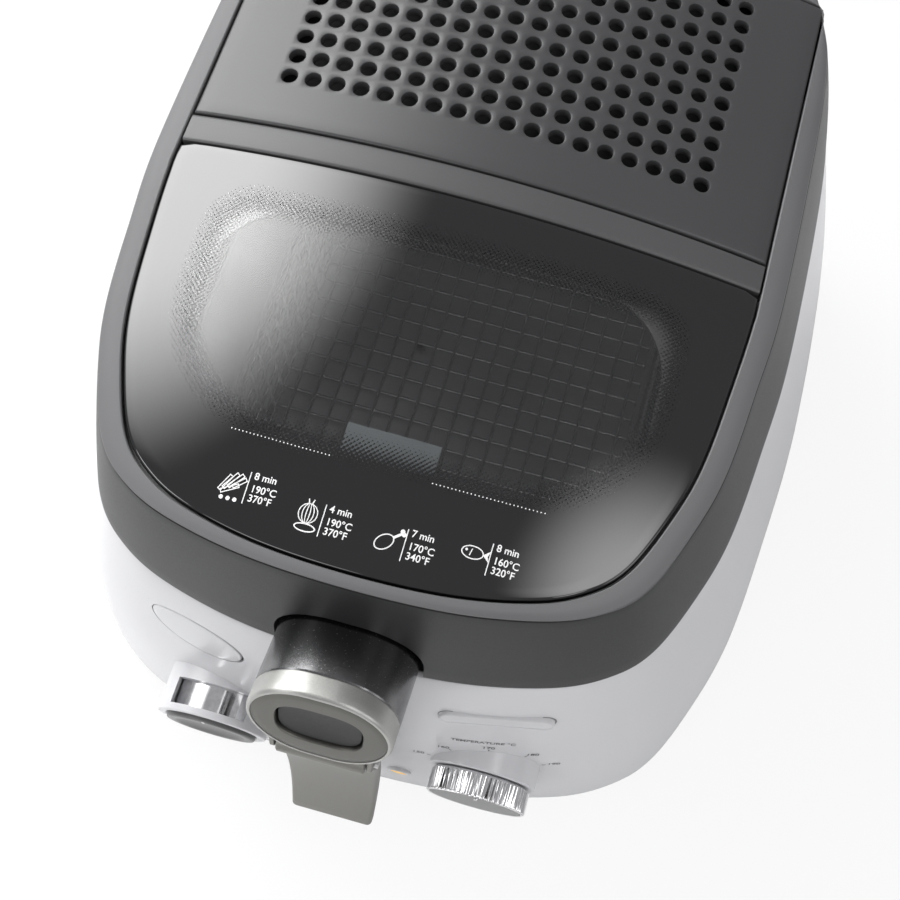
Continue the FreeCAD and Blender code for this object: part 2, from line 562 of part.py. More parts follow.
node(rod("ThermostatShaft", "shaft_radius", "boss_back - knob_face_y - 1 - face_thick", "knob_x",
         "knob_face_y + 1 + face_thick", "knob_z", "y"), "thermostat_shaft")
node(centred_box("ThermostatUnit", "unit_wide / 2", "unit_deep", "unit_wide", "boss_back", "knob_z - unit_wide / 2",
                 "knob_x"), "thermostat_unit")

# Timer: cup with a slot in its roof, chrome drum behind a dished face, shaft and clockwork
cup = rod("Cup", "cup_radius", "boss_back - cup_front", "-knob_x", "cup_front", "knob_z", "y")
cup_bore = rod("CupBore", "drum_radius + drum_gap", "drum_length + drum_gap", "-knob_x", "cup_front", "knob_z", "y")
cup_slot = centred_box("CupSlot", "slot_half", "slot_depth", "cup_radius", "cup_front + 3", "knob_z", "-knob_x")
cup_shaft = rod("CupShaft", "shaft_radius + shaft_gap", "60", "-knob_x", "cup_front", "knob_z", "y")
node(cut("TimerCup", cup, fuse("CupSpaces", [cup_bore, cup_slot, cup_shaft])), "timer_cup")
drum = rod("Drum", "drum_radius", "cup_front + drum_length - knob_face_y - face_thick", "-knob_x",
           "knob_face_y + face_thick", "knob_z", "y")
drum_seat = rod("DrumSeat", "shaft_radius", "60", "-knob_x", "knob_face_y + face_thick", "knob_z", "y")
node(cut("TimerDrum", drum, drum_seat), "timer_drum")
disc = rod("Disc", "drum_radius", "face_thick", "-knob_x", "knob_face_y", "knob_z", "y")
dish = rod("Dish", "dish_radius", "dish_depth", "-knob_x", "knob_face_y", "knob_z", "y")
node(cut("TimerFace", disc, dish), "timer_face")
node(rod("TimerShaft", "shaft_radius", "boss_back - knob_face_y - face_thick", "-knob_x", "knob_face_y + face_thick",
         "knob_z", "y"), "timer_shaft")
node(centred_box("TimerUnit", "unit_wide / 2", "unit_deep", "unit_wide", "boss_back", "knob_z - unit_wide / 2",
                 "-knob_x"), "timer_unit")

# Pilot lamp, lid release with its guide, bare plate and cord inlet
doc.recompute()
lamp_y = wall_front(size("lamp_x"), size("lamp_z")) - size("lamp_proud")
lamp = Part.makeCylinder(size("lamp_radius"), size("lamp_length"), Vector(size("lamp_x"), lamp_y, size("lamp_z")),
                         Vector(0, 1, 0))
node(solid("LampLens", lamp), "lamp_lens")
node(on_wall(oval("ReleaseButton", "release_wide", "release_tall", "release_length",
                  "release_proud - release_length"), "release"), "release_button")
guide_outer = on_wall(oval("GuideOuter", "release_wide + 2 * release_gap + 2 * guide_wall",
                           "release_tall + 2 * release_gap + 2 * guide_wall", "guide_length",
                           "-guide_length - body_wall / 2"), "release")
doc.recompute()
guide = guide_outer.Shape.common(body_inner).cut(release_space.Shape)
node(solid("ReleaseGuide", guide), "release_guide")
plate = on_wall(oval("Plate", "plate_wide", "plate_tall", "plate_seat + plate_thick", "-plate_seat"), "plate")
doc.recompute()
node(solid("BarePlate", plate.Shape.cut(body_outer)), "bare_plate")
node(cut("Gland", rod("GlandBody", "gland_radius", "gland_length", "gland_x",
                      "bulge_rear + gland_proud - gland_length", "gland_z", "y"),
         rod("GlandBore", "gland_bore", "gland_length", "gland_x", "bulge_rear + gland_proud - gland_length / 2",
             "gland_z", "y")), "cord_gland")

# Latch: hook on its pin behind the front wall, and the lid's catch beside it
hook_plate = centred_box("HookPlate", "hook_half", "hook_thick", "hook_top - hook_pivot_z", "hook_back - hook_thick",
                         "hook_pivot_z", "hook_x")
hook_hub = rod("HookHub", "hook_thick", "2 * hook_half", "hook_x - hook_half", "hook_back - hook_thick / 2",
               "hook_pivot_z", "x")
hook_nose = centred_box("HookNose", "hook_half", "catch_reach - nose_gap - 4", "nose_thick",
                        "hook_back - hook_thick - catch_reach + nose_gap + 4", "hook_top - nose_thick", "hook_x")
hook_bore = rod("HookBore", "pin_radius + pin_gap", "4 * hook_half", "hook_x - 2 * hook_half",
                "hook_back - hook_thick / 2", "hook_pivot_z", "x")
node(cut("LatchHook", fuse("HookSolid", [hook_plate, hook_hub, hook_nose]), hook_bore), "latch_hook")
stand = []
for side in (-1, 1):
    start = "hook_x + hook_half + 0.4" if side > 0 else "hook_x - hook_half - 0.4 - ear_thick"
    stand.append(box("HookEar%d" % (side + 2), "ear_thick", "hook_thick + 6",
                     "body_top - 1 - deck_thick - hook_pivot_z + 6", start, "hook_back - hook_thick - 3",
                     "hook_pivot_z - 6"))
hook_pin = rod("HookPin", "pin_radius", "2 * (hook_half + 0.4 + ear_thick)", "hook_x - hook_half - 0.4 - ear_thick",
               "hook_back - hook_thick / 2", "hook_pivot_z", "x")
node(fuse("LatchStand", stand + [hook_pin]), "latch_stand")
doc.recompute()
catch = Part.makeBox(2 * size("catch_half"), 30, size("catch_tall"),
                     Vector(size("hook_x") - size("catch_half"),
                            size("hook_back") - size("hook_thick") - size("catch_reach") + 4 - 30,
                            size("hook_top") - size("nose_thick") - size("catch_gap") - size("catch_tall")))
node(solid("LidCatch", catch.common(lid_inner)), "lid_catch")

# Hinge brackets on the brim, and the pin through them and the lid's knuckles
brackets = []
for side in (-1, 1):
    tag = str(side + 2)
    near = "knuckle_half + knuckle_gap"
    start = near if side > 0 else "-(%s) - bracket_long" % near
    brackets.append(rod("BracketEye" + tag, "hinge_radius", "bracket_long", start, "hinge_y", "hinge_z", "x"))
    brackets.append(box("BracketFoot" + tag, "bracket_long", "hinge_y + hinge_radius - brim_rear + body_wall",
                        "hinge_z - body_top", start, "brim_rear - body_wall", "body_top"))
bracket_bore = rod("BracketBore", "hinge_pin", "4 * knuckle_half", "-2 * knuckle_half", "hinge_y", "hinge_z", "x")
node(cut("HingeBrackets", fuse("BracketSolid", brackets), bracket_bore), "hinge_brackets")
pin_half = "(knuckle_half + knuckle_gap + bracket_long)"
node(rod("HingePin", "hinge_pin", "2 * " + pin_half, "-1 * " + pin_half, "hinge_y", "hinge_z", "x"), "hinge_pin")

doc.recompute()
for item in doc.Objects:
    if "Invalid" in item.State or "Error" in item.State:
        raise RuntimeError("object failed: " + item.Label)
for item in nodes:
    if item.Shape.isNull() or not item.Shape.isValid() or not item.Shape.Solids:
        raise RuntimeError("sub-part has no valid solid: " + item.Label)
os.makedirs("parts", exist_ok=True)
for item in nodes:
    item.Shape.exportStep("parts/%s.step" % item.Label)
whole = FreeCAD.BoundBox()
for item in nodes:
    whole.add(item.Shape.BoundBox)
    print("%-18s %d solid %10.0f mm3" % (item.Label, len(item.Shape.Solids), item.Shape.Volume))
print("whole", [round(v, 2) for v in (whole.XMin, whole.XMax, whole.YMin, whole.YMax, whole.ZMin, whole.ZMax)])
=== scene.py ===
from math import copysign, cos, floor, pi, radians, sin, sqrt
import bmesh
import bpy
from bmesh.types import BMEdge, BMVert
from mathutils import Matrix, Vector


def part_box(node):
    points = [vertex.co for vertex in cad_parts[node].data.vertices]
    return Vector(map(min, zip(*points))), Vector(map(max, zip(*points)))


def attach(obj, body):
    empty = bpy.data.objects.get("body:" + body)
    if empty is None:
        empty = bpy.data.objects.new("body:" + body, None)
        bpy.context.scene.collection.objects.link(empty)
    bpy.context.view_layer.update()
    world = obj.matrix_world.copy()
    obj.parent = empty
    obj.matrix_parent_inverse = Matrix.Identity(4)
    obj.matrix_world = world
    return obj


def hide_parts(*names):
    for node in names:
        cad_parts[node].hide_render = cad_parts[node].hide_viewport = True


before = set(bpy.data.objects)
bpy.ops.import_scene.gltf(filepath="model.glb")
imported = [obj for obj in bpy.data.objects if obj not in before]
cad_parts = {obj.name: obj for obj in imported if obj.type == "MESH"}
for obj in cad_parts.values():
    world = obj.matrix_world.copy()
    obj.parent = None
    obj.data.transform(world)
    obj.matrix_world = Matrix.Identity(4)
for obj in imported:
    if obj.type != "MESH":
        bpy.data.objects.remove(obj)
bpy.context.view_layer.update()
MM = 0.001

# Lid top, in metres: arched across, and falling away to the front past the cross strip
LID_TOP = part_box("lid_frame")[1].z
CROWN_SAG, CROWN_HALF = 12 * MM, 111 * MM
NOSE_DROP, NOSE_START, NOSE_LENGTH = 12 * MM, 2 * MM, 142 * MM
# Openings in the lid, the cover in the rear one, the skirt's foot and the hinge line, in millimetres
OPENING_HALF, OPENING_FRONT, OPENING_REAR, OPENING_CORNER, OPENING_GAP = 111, -139, 138.3, 5, 0.8
COVER_FRONT, COVER_REAR, COVER_EDGE, COVER_DEPTH = 15.5, 137.5, 1.2, 3.6
PANEL_DEPTH = 4
SKIRT_FOOT, SKIRT_STEP, SKIRT_STEPS = 169.5, 2.5, 31
HINGE_Y, HINGE_Z, HINGE_RADIUS, HINGE_BORE = 195, 176, 6, 2.2
# Square grid of holes in the cover, in millimetres
HOLE_PITCH, HOLE_COLUMNS, HOLE_ROWS, HOLE_FRONT, HOLE_RADIUS = 9.45, 18, 10, 38, 3.1
# Plan outline shared by body, skirt and window, as shares of the half width from the front or the rear
FRONT_CURVE = ((0, 0), (0.30, 0.017), (0.55, 0.072), (0.70, 0.145), (0.80, 0.245), (0.88, 0.42),
               (0.94, 0.62), (0.975, 0.90), (1.0, 1.25))
REAR_CURVE = ((0.985, 0.62), (0.93, 0.33), (0.80, 0.13), (0.5, 0.03), (0, 0))
# Handle's frame: the middle of its face, tilted back
HANDLE_TILT = radians(17.6)
HANDLE = (Matrix.Translation(Vector((0, -185.4, 189)) * MM)
          @ Matrix.Rotation(radians(90) - HANDLE_TILT, 4, "X"))


def crown(x, y):
    """Lid's top at a place, in millimetres."""
    arch = CROWN_SAG * (x * MM / CROWN_HALF) ** 2
    nose = NOSE_DROP * (max(0.0, NOSE_START - y * MM) / NOSE_LENGTH) ** 2
    return (LID_TOP - arch - nose) / MM


def smooth_line(points, steps):
    """Points along a Catmull-Rom line through the given ones."""
    line = []
    ends = [points[0] * 2 - points[1]] + points + [points[-1] * 2 - points[-2]]
    for i in range(1, len(ends) - 2):
        a, b, c, d = ends[i - 1:i + 3]
        for k in range(steps):
            t = k / steps
            line.append(((2 * b) + (c - a) * t + (2 * a - 5 * b + 4 * c - d) * t * t
                         + (3 * b - a - 3 * c + d) * t ** 3) * 0.5)
    return line + [points[-1]]


def half_outline(half, front, rear, steps):
    """Right half of the plan outline, from the middle of the front to the middle of the rear."""
    points = [Vector((half * x, front + half * y)) for x, y in FRONT_CURVE]
    points += [Vector((half * x, rear - half * y)) for x, y in REAR_CURVE]
    mirrored = [Vector((-points[1].x, points[1].y))] + points + [Vector((-points[-2].x, points[-2].y))]
    line = smooth_line(mirrored, steps)
    return line[steps:-steps]


def full_outline(half, front, rear, steps):
    right = half_outline(half, front, rear, steps)
    return right + [Vector((-p.x, p.y)) for p in reversed(right[1:-1])]


# Shader writing: sockets with arithmetic, and one method that makes any node
def operator(operation, flip=False):
    return lambda self, other=None: self.maths(operation, other, flip)


class Sock:
    def __init__(self, finish, socket):
        self.finish = finish
        self.socket = socket

    def maths(self, operation, other=None, flip=False):
        values = [other, self] if flip else [self, other]
        inputs = dict(enumerate(value for value in values if value is not None))
        return self.finish.node("ShaderNodeMath", inputs, operation=operation)

    def clamped(self):
        return self.maths("MAXIMUM", 0.0).maths("MINIMUM", 1.0)

    __add__ = __radd__ = operator("ADD")
    __sub__, __rsub__ = operator("SUBTRACT"), operator("SUBTRACT", True)
    __mul__ = __rmul__ = operator("MULTIPLY")
    __truediv__, __pow__ = operator("DIVIDE"), operator("POWER")
    __gt__, __lt__ = operator("GREATER_THAN"), operator("LESS_THAN")
    absolute, sine = operator("ABSOLUTE"), operator("SINE")


class Finish:
    """A material whose Principled shader is written socket by socket."""

    def __init__(self, name, color, roughness, **constants):
        self.material = bpy.data.materials.new(name)
        self.material.use_nodes = True
        self.tree = self.material.node_tree
        self.shader = self.tree.nodes["Principled BSDF"]
        self.set("Base Color", (*color, 1))
        self.set("Roughness", roughness)
        for key, value in constants.items():
            self.set(key.replace("_", " "), value)

    def feed(self, socket, value):
        if isinstance(value, Sock):
            self.tree.links.new(value.socket, socket)
        else:
            socket.default_value = value

    def set(self, name, value):
        self.feed(self.shader.inputs[name], value)

    def node(self, kind, values=None, out=0, stops=(), **settings):
        """Make a node, set it up, and then give its sockets their values or links."""
        made = self.tree.nodes.new(kind)
        for key, value in settings.items():
            setattr(made, key, value)
        for k, (place, color) in enumerate(stops):
            made.color_ramp.interpolation = "EASE"
            made.color_ramp.elements[k].position = place
            made.color_ramp.elements[k].color = (*color, 1)
        for key, value in (values or {}).items():
            self.feed(made.inputs[key], value)
        return Sock(self, made.outputs[out])

    def place(self):
        return self.node("ShaderNodeTexCoord", out=3)

    def axes(self):
        split = self.node("ShaderNodeSeparateXYZ", {0: self.place()})
        return [Sock(self, out) for out in split.socket.node.outputs]

    def noise(self, scale, detail=4.0, place=None):
        values = {"Vector": place or self.place(), "Scale": scale, "Detail": detail}
        return self.node("ShaderNodeTexNoise", values)

    def ramp(self, factor, low, high, start=0.3, end=0.7):
        """Colour that eases from one to another as the factor goes from start to end."""
        return self.node("ShaderNodeValToRGB", {"Fac": factor}, stops=((start, low), (end, high)))

    def bump(self, height, strength, distance):
        values = {"Strength": strength, "Distance": distance, "Height": height}
        self.set("Normal", self.node("ShaderNodeBump", values))

    def blend(self, factor, second, first=None):
        """Mix a shader by a factor into the Principled one, or into another, for the surface."""
        first = first or Sock(self, self.shader.outputs[0])
        mixed = self.node("ShaderNodeMixShader", {0: factor, 1: first, 2: second})
        self.feed(self.tree.nodes["Material Output"].inputs["Surface"], mixed)


DRIFT_SCALE = 9.0


def grained(made, roughness, grain, depth):
    """Spark-eroded grain and a little uneven gloss."""
    fine = made.noise(grain, 3)
    made.set("Roughness", (fine * 0.12 + (roughness - 0.06)).clamped())
    made.bump(fine, 0.35, depth)


def plastic(name, color, roughness, grain=900, depth=5e-5, shade=0.08, **constants):
    """Moulded plastic: slow shade drift and grain."""
    made = Finish(name, color, roughness, **constants)
    low = tuple(c * (1 - shade) for c in color)
    made.set("Base Color", made.ramp(made.noise(DRIFT_SCALE, 2), low, color))
    grained(made, roughness, grain, depth)
    return made.material


def metal(name, color, roughness, brush=(1, 1, 1), scale=700, depth=3e-5):
    """Metal with fine lines drawn out along the axis whose brush share is small."""
    made = Finish(name, color, roughness, Metallic=1)
    stretched = made.node("ShaderNodeMapping", {"Vector": made.place(), "Scale": brush})
    lines = made.noise(scale, 3, stretched)
    made.set("Base Color", made.ramp(lines, tuple(c * 0.86 for c in color), color))
    made.set("Roughness", (lines * 0.16 + (roughness - 0.08)).clamped())
    made.bump(lines, 0.3, depth)
    return made.material


WHITE = plastic("white_shell", (0.625, 0.625, 0.642), 0.30, 1800, 2.5e-6, 0.03, Coat_Weight=0.25)


def frame_finish():
    """Dark skirt whose flat top band is painted lighter: a painted highlight for light falling on the upward
    band.
    """
    roughness, band_depth = 0.44, 2.1 * MM
    made = Finish("dark_frame", (0.058, 0.058, 0.061), roughness, Specular_IOR_Level=0.3)
    grained(made, roughness, 1400, 4e-5)
    x, y, z = made.axes()
    nose = (NOSE_START - y).maths("MAXIMUM", 0) / NOSE_LENGTH
    arch = x / CROWN_HALF
    below = LID_TOP - arch * arch * CROWN_SAG - nose * nose * NOSE_DROP - z
    drift = made.noise(DRIFT_SCALE, 2)
    skirt = made.ramp(drift, (0.011, 0.011, 0.012), (0.015, 0.015, 0.016))
    # Painted highlight: the top band's colour is some nine times lighter than the skirt's, standing in for
    # light falling on the upward faces.
    top = made.ramp(drift, (0.122, 0.122, 0.125), (0.142, 0.142, 0.146))
    skirt_and_painted_band_light = {0: below < band_depth, 6: skirt, 7: top}
    made.set("Base Color", made.node("ShaderNodeMix", skirt_and_painted_band_light, 2, data_type="RGBA"))
    return made.material


DARK = frame_finish()
DARK_TOP = plastic("dark_top_band", (0.064, 0.064, 0.066), 0.40, 1400, 6e-5)
COVER = plastic("filter_cover_grey", (0.048, 0.048, 0.050), 0.36, 1400, 6e-5)
BLACK = plastic("inner_black", (0.02, 0.02, 0.021), 0.55)
# Near-black fill at the bottom of gaps: painted shade, darker than the inner black of the parts behind them.
GAP_FILL_PAINTED_SHADE = plastic("gap_fill_painted_shade", (0.006, 0.006, 0.006), 0.7)
BARREL = metal("barrel_charcoal", (0.21, 0.21, 0.213), 0.24, (1, 1, 1), 1500, 3e-7)
BUTTON = plastic("button_charcoal", (0.03, 0.03, 0.031), 0.45, Specular_IOR_Level=0.2)
COLLAR = metal("collar_silver", (0.47, 0.47, 0.452), 0.42, (1, 1, 9), 1600, 3e-6)
COLLAR_FACE = metal("collar_face", (0.155, 0.153, 0.141), 0.44, (8, 1, 1), 1600, 4e-6)
LEVER = metal("lever_grey", (0.225, 0.222, 0.205), 0.42, (6, 1, 1), 1500, 4e-6)
CHROME = metal("knob_chrome", (0.85, 0.85, 0.86), 0.10, (1, 1, 1), 300, 1e-5)
FACE = plastic("face_silver", (0.19, 0.19, 0.19), 0.34, 1500, 4e-6)
TIMER_FACE = plastic("timer_face_grey", (0.12, 0.12, 0.12), 0.35)
LINER = metal("liner_brushed", (0.16, 0.16, 0.16), 0.5, (1, 14, 1))
STEEL = metal("plain_steel", (0.55, 0.55, 0.55), 0.3, (1, 14, 1))
WIRE = metal("basket_wire", (0.72, 0.72, 0.72), 0.22)
PAN = plastic("pan_coating", (0.40, 0.40, 0.41), 0.35, 500, 8e-5)
RUBBER = plastic("seal_rubber", (0.06, 0.06, 0.06), 0.75, 500, 6e-5)
FELT = plastic("filter_felt", (0.03, 0.03, 0.03), 0.95, 300, 0.0004)
TAB = plastic("tab_grey", (0.11, 0.125, 0.13), 0.4)
PRINT = plastic("print_white", (0.82, 0.82, 0.82), 0.5)
# Grey for the line round the plate's rim: painted shade of the crease where the rim meets the wall.
RIM_FOOT_SHADE = plastic("rim_foot_painted_shade", (0.22, 0.22, 0.225), 0.5)
PRINT_GREY = plastic("print_grey", (0.12, 0.12, 0.12), 0.5)


def amber():
    made = Finish("lamp_amber", (0.88, 0.56, 0.16), 0.2, Transmission_Weight=0.2)
    made.set("Emission Color", made.ramp(made.noise(400), (0.95, 0.52, 0.10), (1, 0.70, 0.25)))
    made.set("Emission Strength", 0.3)
    return made.material


LAMP = amber()


def window_glass():
    """Black printed glass with a clear field, whose border breaks up into dots."""
    field_half, field_middle, field_reach = 82.5 * MM, -58 * MM, 38 * MM
    rear_corner, front_corner = 10 * MM, 44 * MM
    border_inside, border, dot_pitch = 3 * MM, 13 * MM, 1.9 * MM
    made = Finish("window_glass", (0.004, 0.004, 0.0045), 0.05, Specular_IOR_Level=0.9)
    x, y, _ = made.axes()
    corner = (y < field_middle) * (front_corner - rear_corner) + rear_corner
    wide = (x.absolute() - field_half + corner).maths("MAXIMUM", 0)
    deep = ((y - field_middle).absolute() - field_reach + corner).maths("MAXIMUM", 0)
    edge = (wide * wide + deep * deep) ** 0.5 - corner
    shade = ((edge + border_inside) / border).clamped()
    turn = 2 * pi / dot_pitch
    dots = (x * turn).sine() * (y * turn).sine() * 0.5 + 0.5
    printed = (shade * 1.02) > dots
    smear = made.noise(35, 4)
    made.set("Roughness", smear * 0.05 + 0.03)
    made.set("Alpha", printed * 0.88 + 0.12)
    sheen = made.node("ShaderNodeBsdfGlossy", {"Color": (1, 1, 1, 1), "Roughness": 0.06})
    made.blend((1 - printed) * (smear * 0.02 + 0.03), sheen)
    return made.material


GLASS = window_glass()


# Piece helpers
def loop_of(mesh, points):
    """Closed ring of edges laid through the points."""
    ring = bmesh.ops.create_circle(mesh, segments=len(points), radius=1.0)["verts"]
    for vert, point in zip(ring, points):
        vert.co = point
    return list(dict.fromkeys(edge for vert in ring for edge in vert.link_edges))


def stack(mesh, rings, capped=True, closed=False):
    """Skin drawn out from ring to ring, all of one count, with flat ends or run round to the first ring."""
    edges = first = loop_of(mesh, rings[0])
    ring = list(mesh.verts)[-len(rings[0]):]
    for points in rings[1:] + (rings[:1] if closed else []):
        grown = bmesh.ops.extrude_edge_only(mesh, edges=edges)["geom"]
        fresh = {item for item in grown if isinstance(item, BMVert)}
        ring = [next(edge.other_vert(vert) for edge in vert.link_edges if edge.other_vert(vert) in fresh)
                for vert in ring]
        for vert, point in zip(ring, points):
            vert.co = point
        edges = [item for item in grown
                 if isinstance(item, BMEdge) and fresh.issuperset(item.verts)]
    if capped and not closed:
        for loop in (first, edges):
            bmesh.ops.contextual_create(mesh, geom=loop)


def drawn(rings, **ends):
    """Fresh mesh drawn out from ring to ring."""
    mesh = bmesh.new()
    stack(mesh, rings, **ends)
    return mesh


def circle(count):
    """Cosine and sine at even steps round a circle."""
    return [(cos(2 * pi * k / count), sin(2 * pi * k / count)) for k in range(count)]


SHARP = 32.0


def welded(mesh):
    bmesh.ops.remove_doubles(mesh, verts=mesh.verts, dist=1e-6)
    bmesh.ops.recalc_face_normals(mesh, faces=mesh.faces)
    return mesh


def linked(made):
    bpy.context.scene.collection.objects.link(made)
    return made


def placed(name, mesh):
    """New object in the scene that takes over the mesh."""
    data = bpy.data.meshes.new(name)
    mesh.to_mesh(data)
    mesh.free()
    return linked(bpy.data.objects.new(name, data))


def mark_edges(mesh, sharp):
    for edge in mesh.edges:
        edge.smooth = len(edge.link_faces) != 2 or edge.calc_face_angle(0.0) <= radians(sharp)


def piece(name, mesh, material, body, slot, *nodes, sharp=SHARP):
    for face in welded(mesh).faces:
        face.smooth = True
    mark_edges(mesh, sharp)
    made = placed(name, mesh)
    made.data.materials.append(material)
    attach(made, body)
    if nodes:
        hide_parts(*nodes)
    return made


def mesh_of(made):
    """Mesh of an object as it comes out with its modifiers or letters."""
    return bpy.data.meshes.new_from_object(made.evaluated_get(bpy.context.evaluated_depsgraph_get()))


def carve(target, *meshes):
    """Cut closed meshes out of a piece, then mark its hard edges again."""
    for mesh in meshes:
        cutter = placed("cutter", welded(mesh))
        change = target.modifiers.new("carve", "BOOLEAN")
        change.operation = "DIFFERENCE"
        change.solver = "EXACT"
        change.object = cutter
        result = mesh_of(target)
        target.modifiers.clear()
        target.data = result
        bpy.data.meshes.remove(cutter.data)
    marked = bmesh.new()
    marked.from_mesh(target.data)
    bmesh.ops.remove_doubles(marked, verts=marked.verts, dist=2e-6)
    mark_edges(marked, SHARP)
    marked.to_mesh(target.data)
    marked.free()
    return target


def obround(wide, tall, along, turn, count=20):
    """Ring of an obround section, sizes in millimetres, moved by the matrix."""
    ring = []
    shift = (wide - tall) / 2
    for side in (1, -1):
        for k in range(count + 1):
            angle = pi * (k / count - 0.5)
            place = (side * (shift + tall / 2 * cos(angle)), side * tall / 2 * sin(angle), along)
            ring.append(turn @ (Vector(place) * MM))
    return ring


def rounded_box(half, front, rear, corner, count):
    """Outline of a rectangle with round corners, in the plane."""
    path = []
    for quarter, (sx, y) in enumerate(((1, rear - corner), (-1, rear - corner),
                                       (-1, front + corner), (1, front + corner))):
        for k in range(count + 1):
            angle = radians(90 * (quarter + k / count))
            x = sx * (half - corner)
            path.append(Vector((x + corner * cos(angle), y + corner * sin(angle))))
    return path


def oval(wide, tall, along, turn, power=2.0, count=20):
    """Ring of an ellipse, or of one squared off by a higher power, with as many points as an obround."""
    ring = []
    for side in (1, -1):
        for k in range(count + 1):
            angle = pi * ((k + 0.5) / (count + 1) - 0.5)
            across, rise = cos(angle) ** (2 / power), abs(sin(angle)) ** (2 / power)
            place = (side * wide / 2 * across, side * copysign(tall / 2 * rise, angle), along)
            ring.append(turn @ (Vector(place) * MM))
    return ring


def obround_piece(name, sections, turn, material, body, slot, *nodes, closed=False):
    """Skin through sections of width, height and place, each obround unless a power follows."""
    rings = [oval(*row[:3], turn, row[3]) if row[3:] else obround(*row, turn) for row in sections]
    return piece(name, drawn(rings, closed=closed), material, body, slot, *nodes)


def lathe(profile, centre, steps=96, flute=0.0, teeth=0):
    """Rings about a line along Y, from rows of radius and place in millimetres; a third entry flutes one."""
    rings = []
    for radius, along, *fluted in profile:
        ring = []
        for k, (c, s) in enumerate(circle(steps)):
            wave = 0.5 - 0.5 * cos(2 * pi * teeth * k / steps) if fluted else 0.0
            reach = radius - flute * wave
            ring.append(Vector((centre[0] + reach * c, along, centre[1] + reach * s)) * MM)
        rings.append(ring)
    return rings


def turned(name, profile, centre, material, body, slot, *nodes, closed=False, **shape):
    return piece(name, drawn(lathe(profile, centre, **shape), closed=closed), material, body, slot, *nodes)


def slab(low, high):
    """Closed box between two corners, in millimetres."""
    low, high = Vector(low) * MM, Vector(high) * MM
    mesh = bmesh.new()
    bmesh.ops.create_cube(mesh, size=1.0, matrix=Matrix.LocRotScale((low + high) / 2, None, high - low))
    return mesh


def rod(centre, radius, front, rear):
    return drawn(lathe([(radius, front), (radius, rear)], centre, 64))


# Outlines of body and skirt at any height
BODY_LEVELS = ((6, 163, -173, 198), (24, 168, -178, 203), (92, 158, -171, 199), (150, 142, -160, 193),
               (168, 136, -155.5, 190))
BODY_LOW, BODY_WALL = 6.0, 3.0
SKIRT_LEVELS = ((169.5, 137, -155.8, 186), (205, 128, -149.5, 180), (250, 115, -140.5, 166))


def where(line, value):
    """Point of a line whose first coordinate is the value."""
    for low, high in zip(line, line[1:]):
        if low[0] <= value <= high[0]:
            break
    return low.lerp(high, (value - low[0]) / (high[0] - low[0]))


def level_at(levels, z):
    return where(smooth_line([Vector(row) for row in levels], 16), z)


def ring_at(levels, z, inset=0.0, steps=8):
    _, half, front, rear = level_at(levels, z)
    flat = full_outline(half - inset, front + inset, rear - inset, steps)
    return [Vector((p.x, p.y, z)) * MM for p in flat]


def wall_front(x, z):
    """Front of the outer wall at a place across and up, in millimetres."""
    _, half, front, rear = level_at(BODY_LEVELS, z)
    return where(half_outline(half, front, rear, 4), abs(x)).y


def on_wall(x, z, yaw, pitch=11):
    """Frame on the front wall, turned to face out along it."""
    seat = Matrix.Translation(Vector((x, wall_front(x, z), z)) * MM)
    lean = Matrix.Rotation(radians(90 - pitch), 4, "X")
    return seat @ Matrix.Rotation(radians(yaw), 4, "Z") @ lean


RELEASE = on_wall(-65, 136, -12)
PLATE = on_wall(59, 138, 11)
RIGHT_KNOB, LEFT_KNOB = (59, 79), (-59, 79)


def body_shell():
    """Flared wall, rolled over at its top, with openings for release, handle and controls."""
    heights = [7.5, 11, 16, 24, 34, 46, 58, 70, 82, 94, 106, 118, 130, 142, 152, 160, 166.4]
    rings = [ring_at(BODY_LEVELS, BODY_LOW, 1.5), ring_at(BODY_LEVELS, 6.4, 0.45)]
    rings += [ring_at(BODY_LEVELS, z) for z in heights]
    rings += [ring_at(BODY_LEVELS, z, inset)
              for z, inset in ((167.5, 0.3), (168, 1.2), (168, 2.3), (167.3, BODY_WALL))]
    rings += [ring_at(BODY_LEVELS, z, BODY_WALL) for z in reversed(heights[:-1:2])]
    rings.append(ring_at(BODY_LEVELS, BODY_LOW, BODY_WALL))
    shell = piece("shell", drawn(rings, closed=True), WHITE, "housing", "white_shell", "outer_body")
    opening = drawn([oval(43, 27, along, RELEASE) for along in (-10, 10)])
    barrel = drawn([obround(53.6, 45.6, along, HANDLE) for along in (-45.2, 4)])
    carve(shell, opening, barrel, rod(RIGHT_KNOB, 23.1, -190, -140), rod(LEFT_KNOB, 23.6, -190, -140))


# Lid frame: skirt, rounded ridge and the band round the two openings
def ray_to(loop, centre, toward):
    """Where the ray from the centre toward a point meets a closed loop, in the plane."""
    way = (toward - centre).normalized()
    for a, b in zip(loop, loop[1:] + loop[:1]):
        side = b - a
        base = way.x * side.y - way.y * side.x
        if abs(base) < 1e-9:
            continue
        gap = a - centre
        reach = (gap.x * side.y - gap.y * side.x) / base
        share = (gap.x * way.y - gap.y * way.x) / base
        if reach > 0 and -1e-6 <= share <= 1 + 1e-6:
            return centre + way * reach
    return toward


def rounded_corner(corner, before, after, radius, steps=6):
    a = corner + (before - corner).normalized() * radius
    b = corner + (after - corner).normalized() * radius
    shares = [k / steps for k in range(steps + 1)]
    return [a * (1 - t) ** 2 + corner * 2 * t * (1 - t) + b * t * t for t in shares]


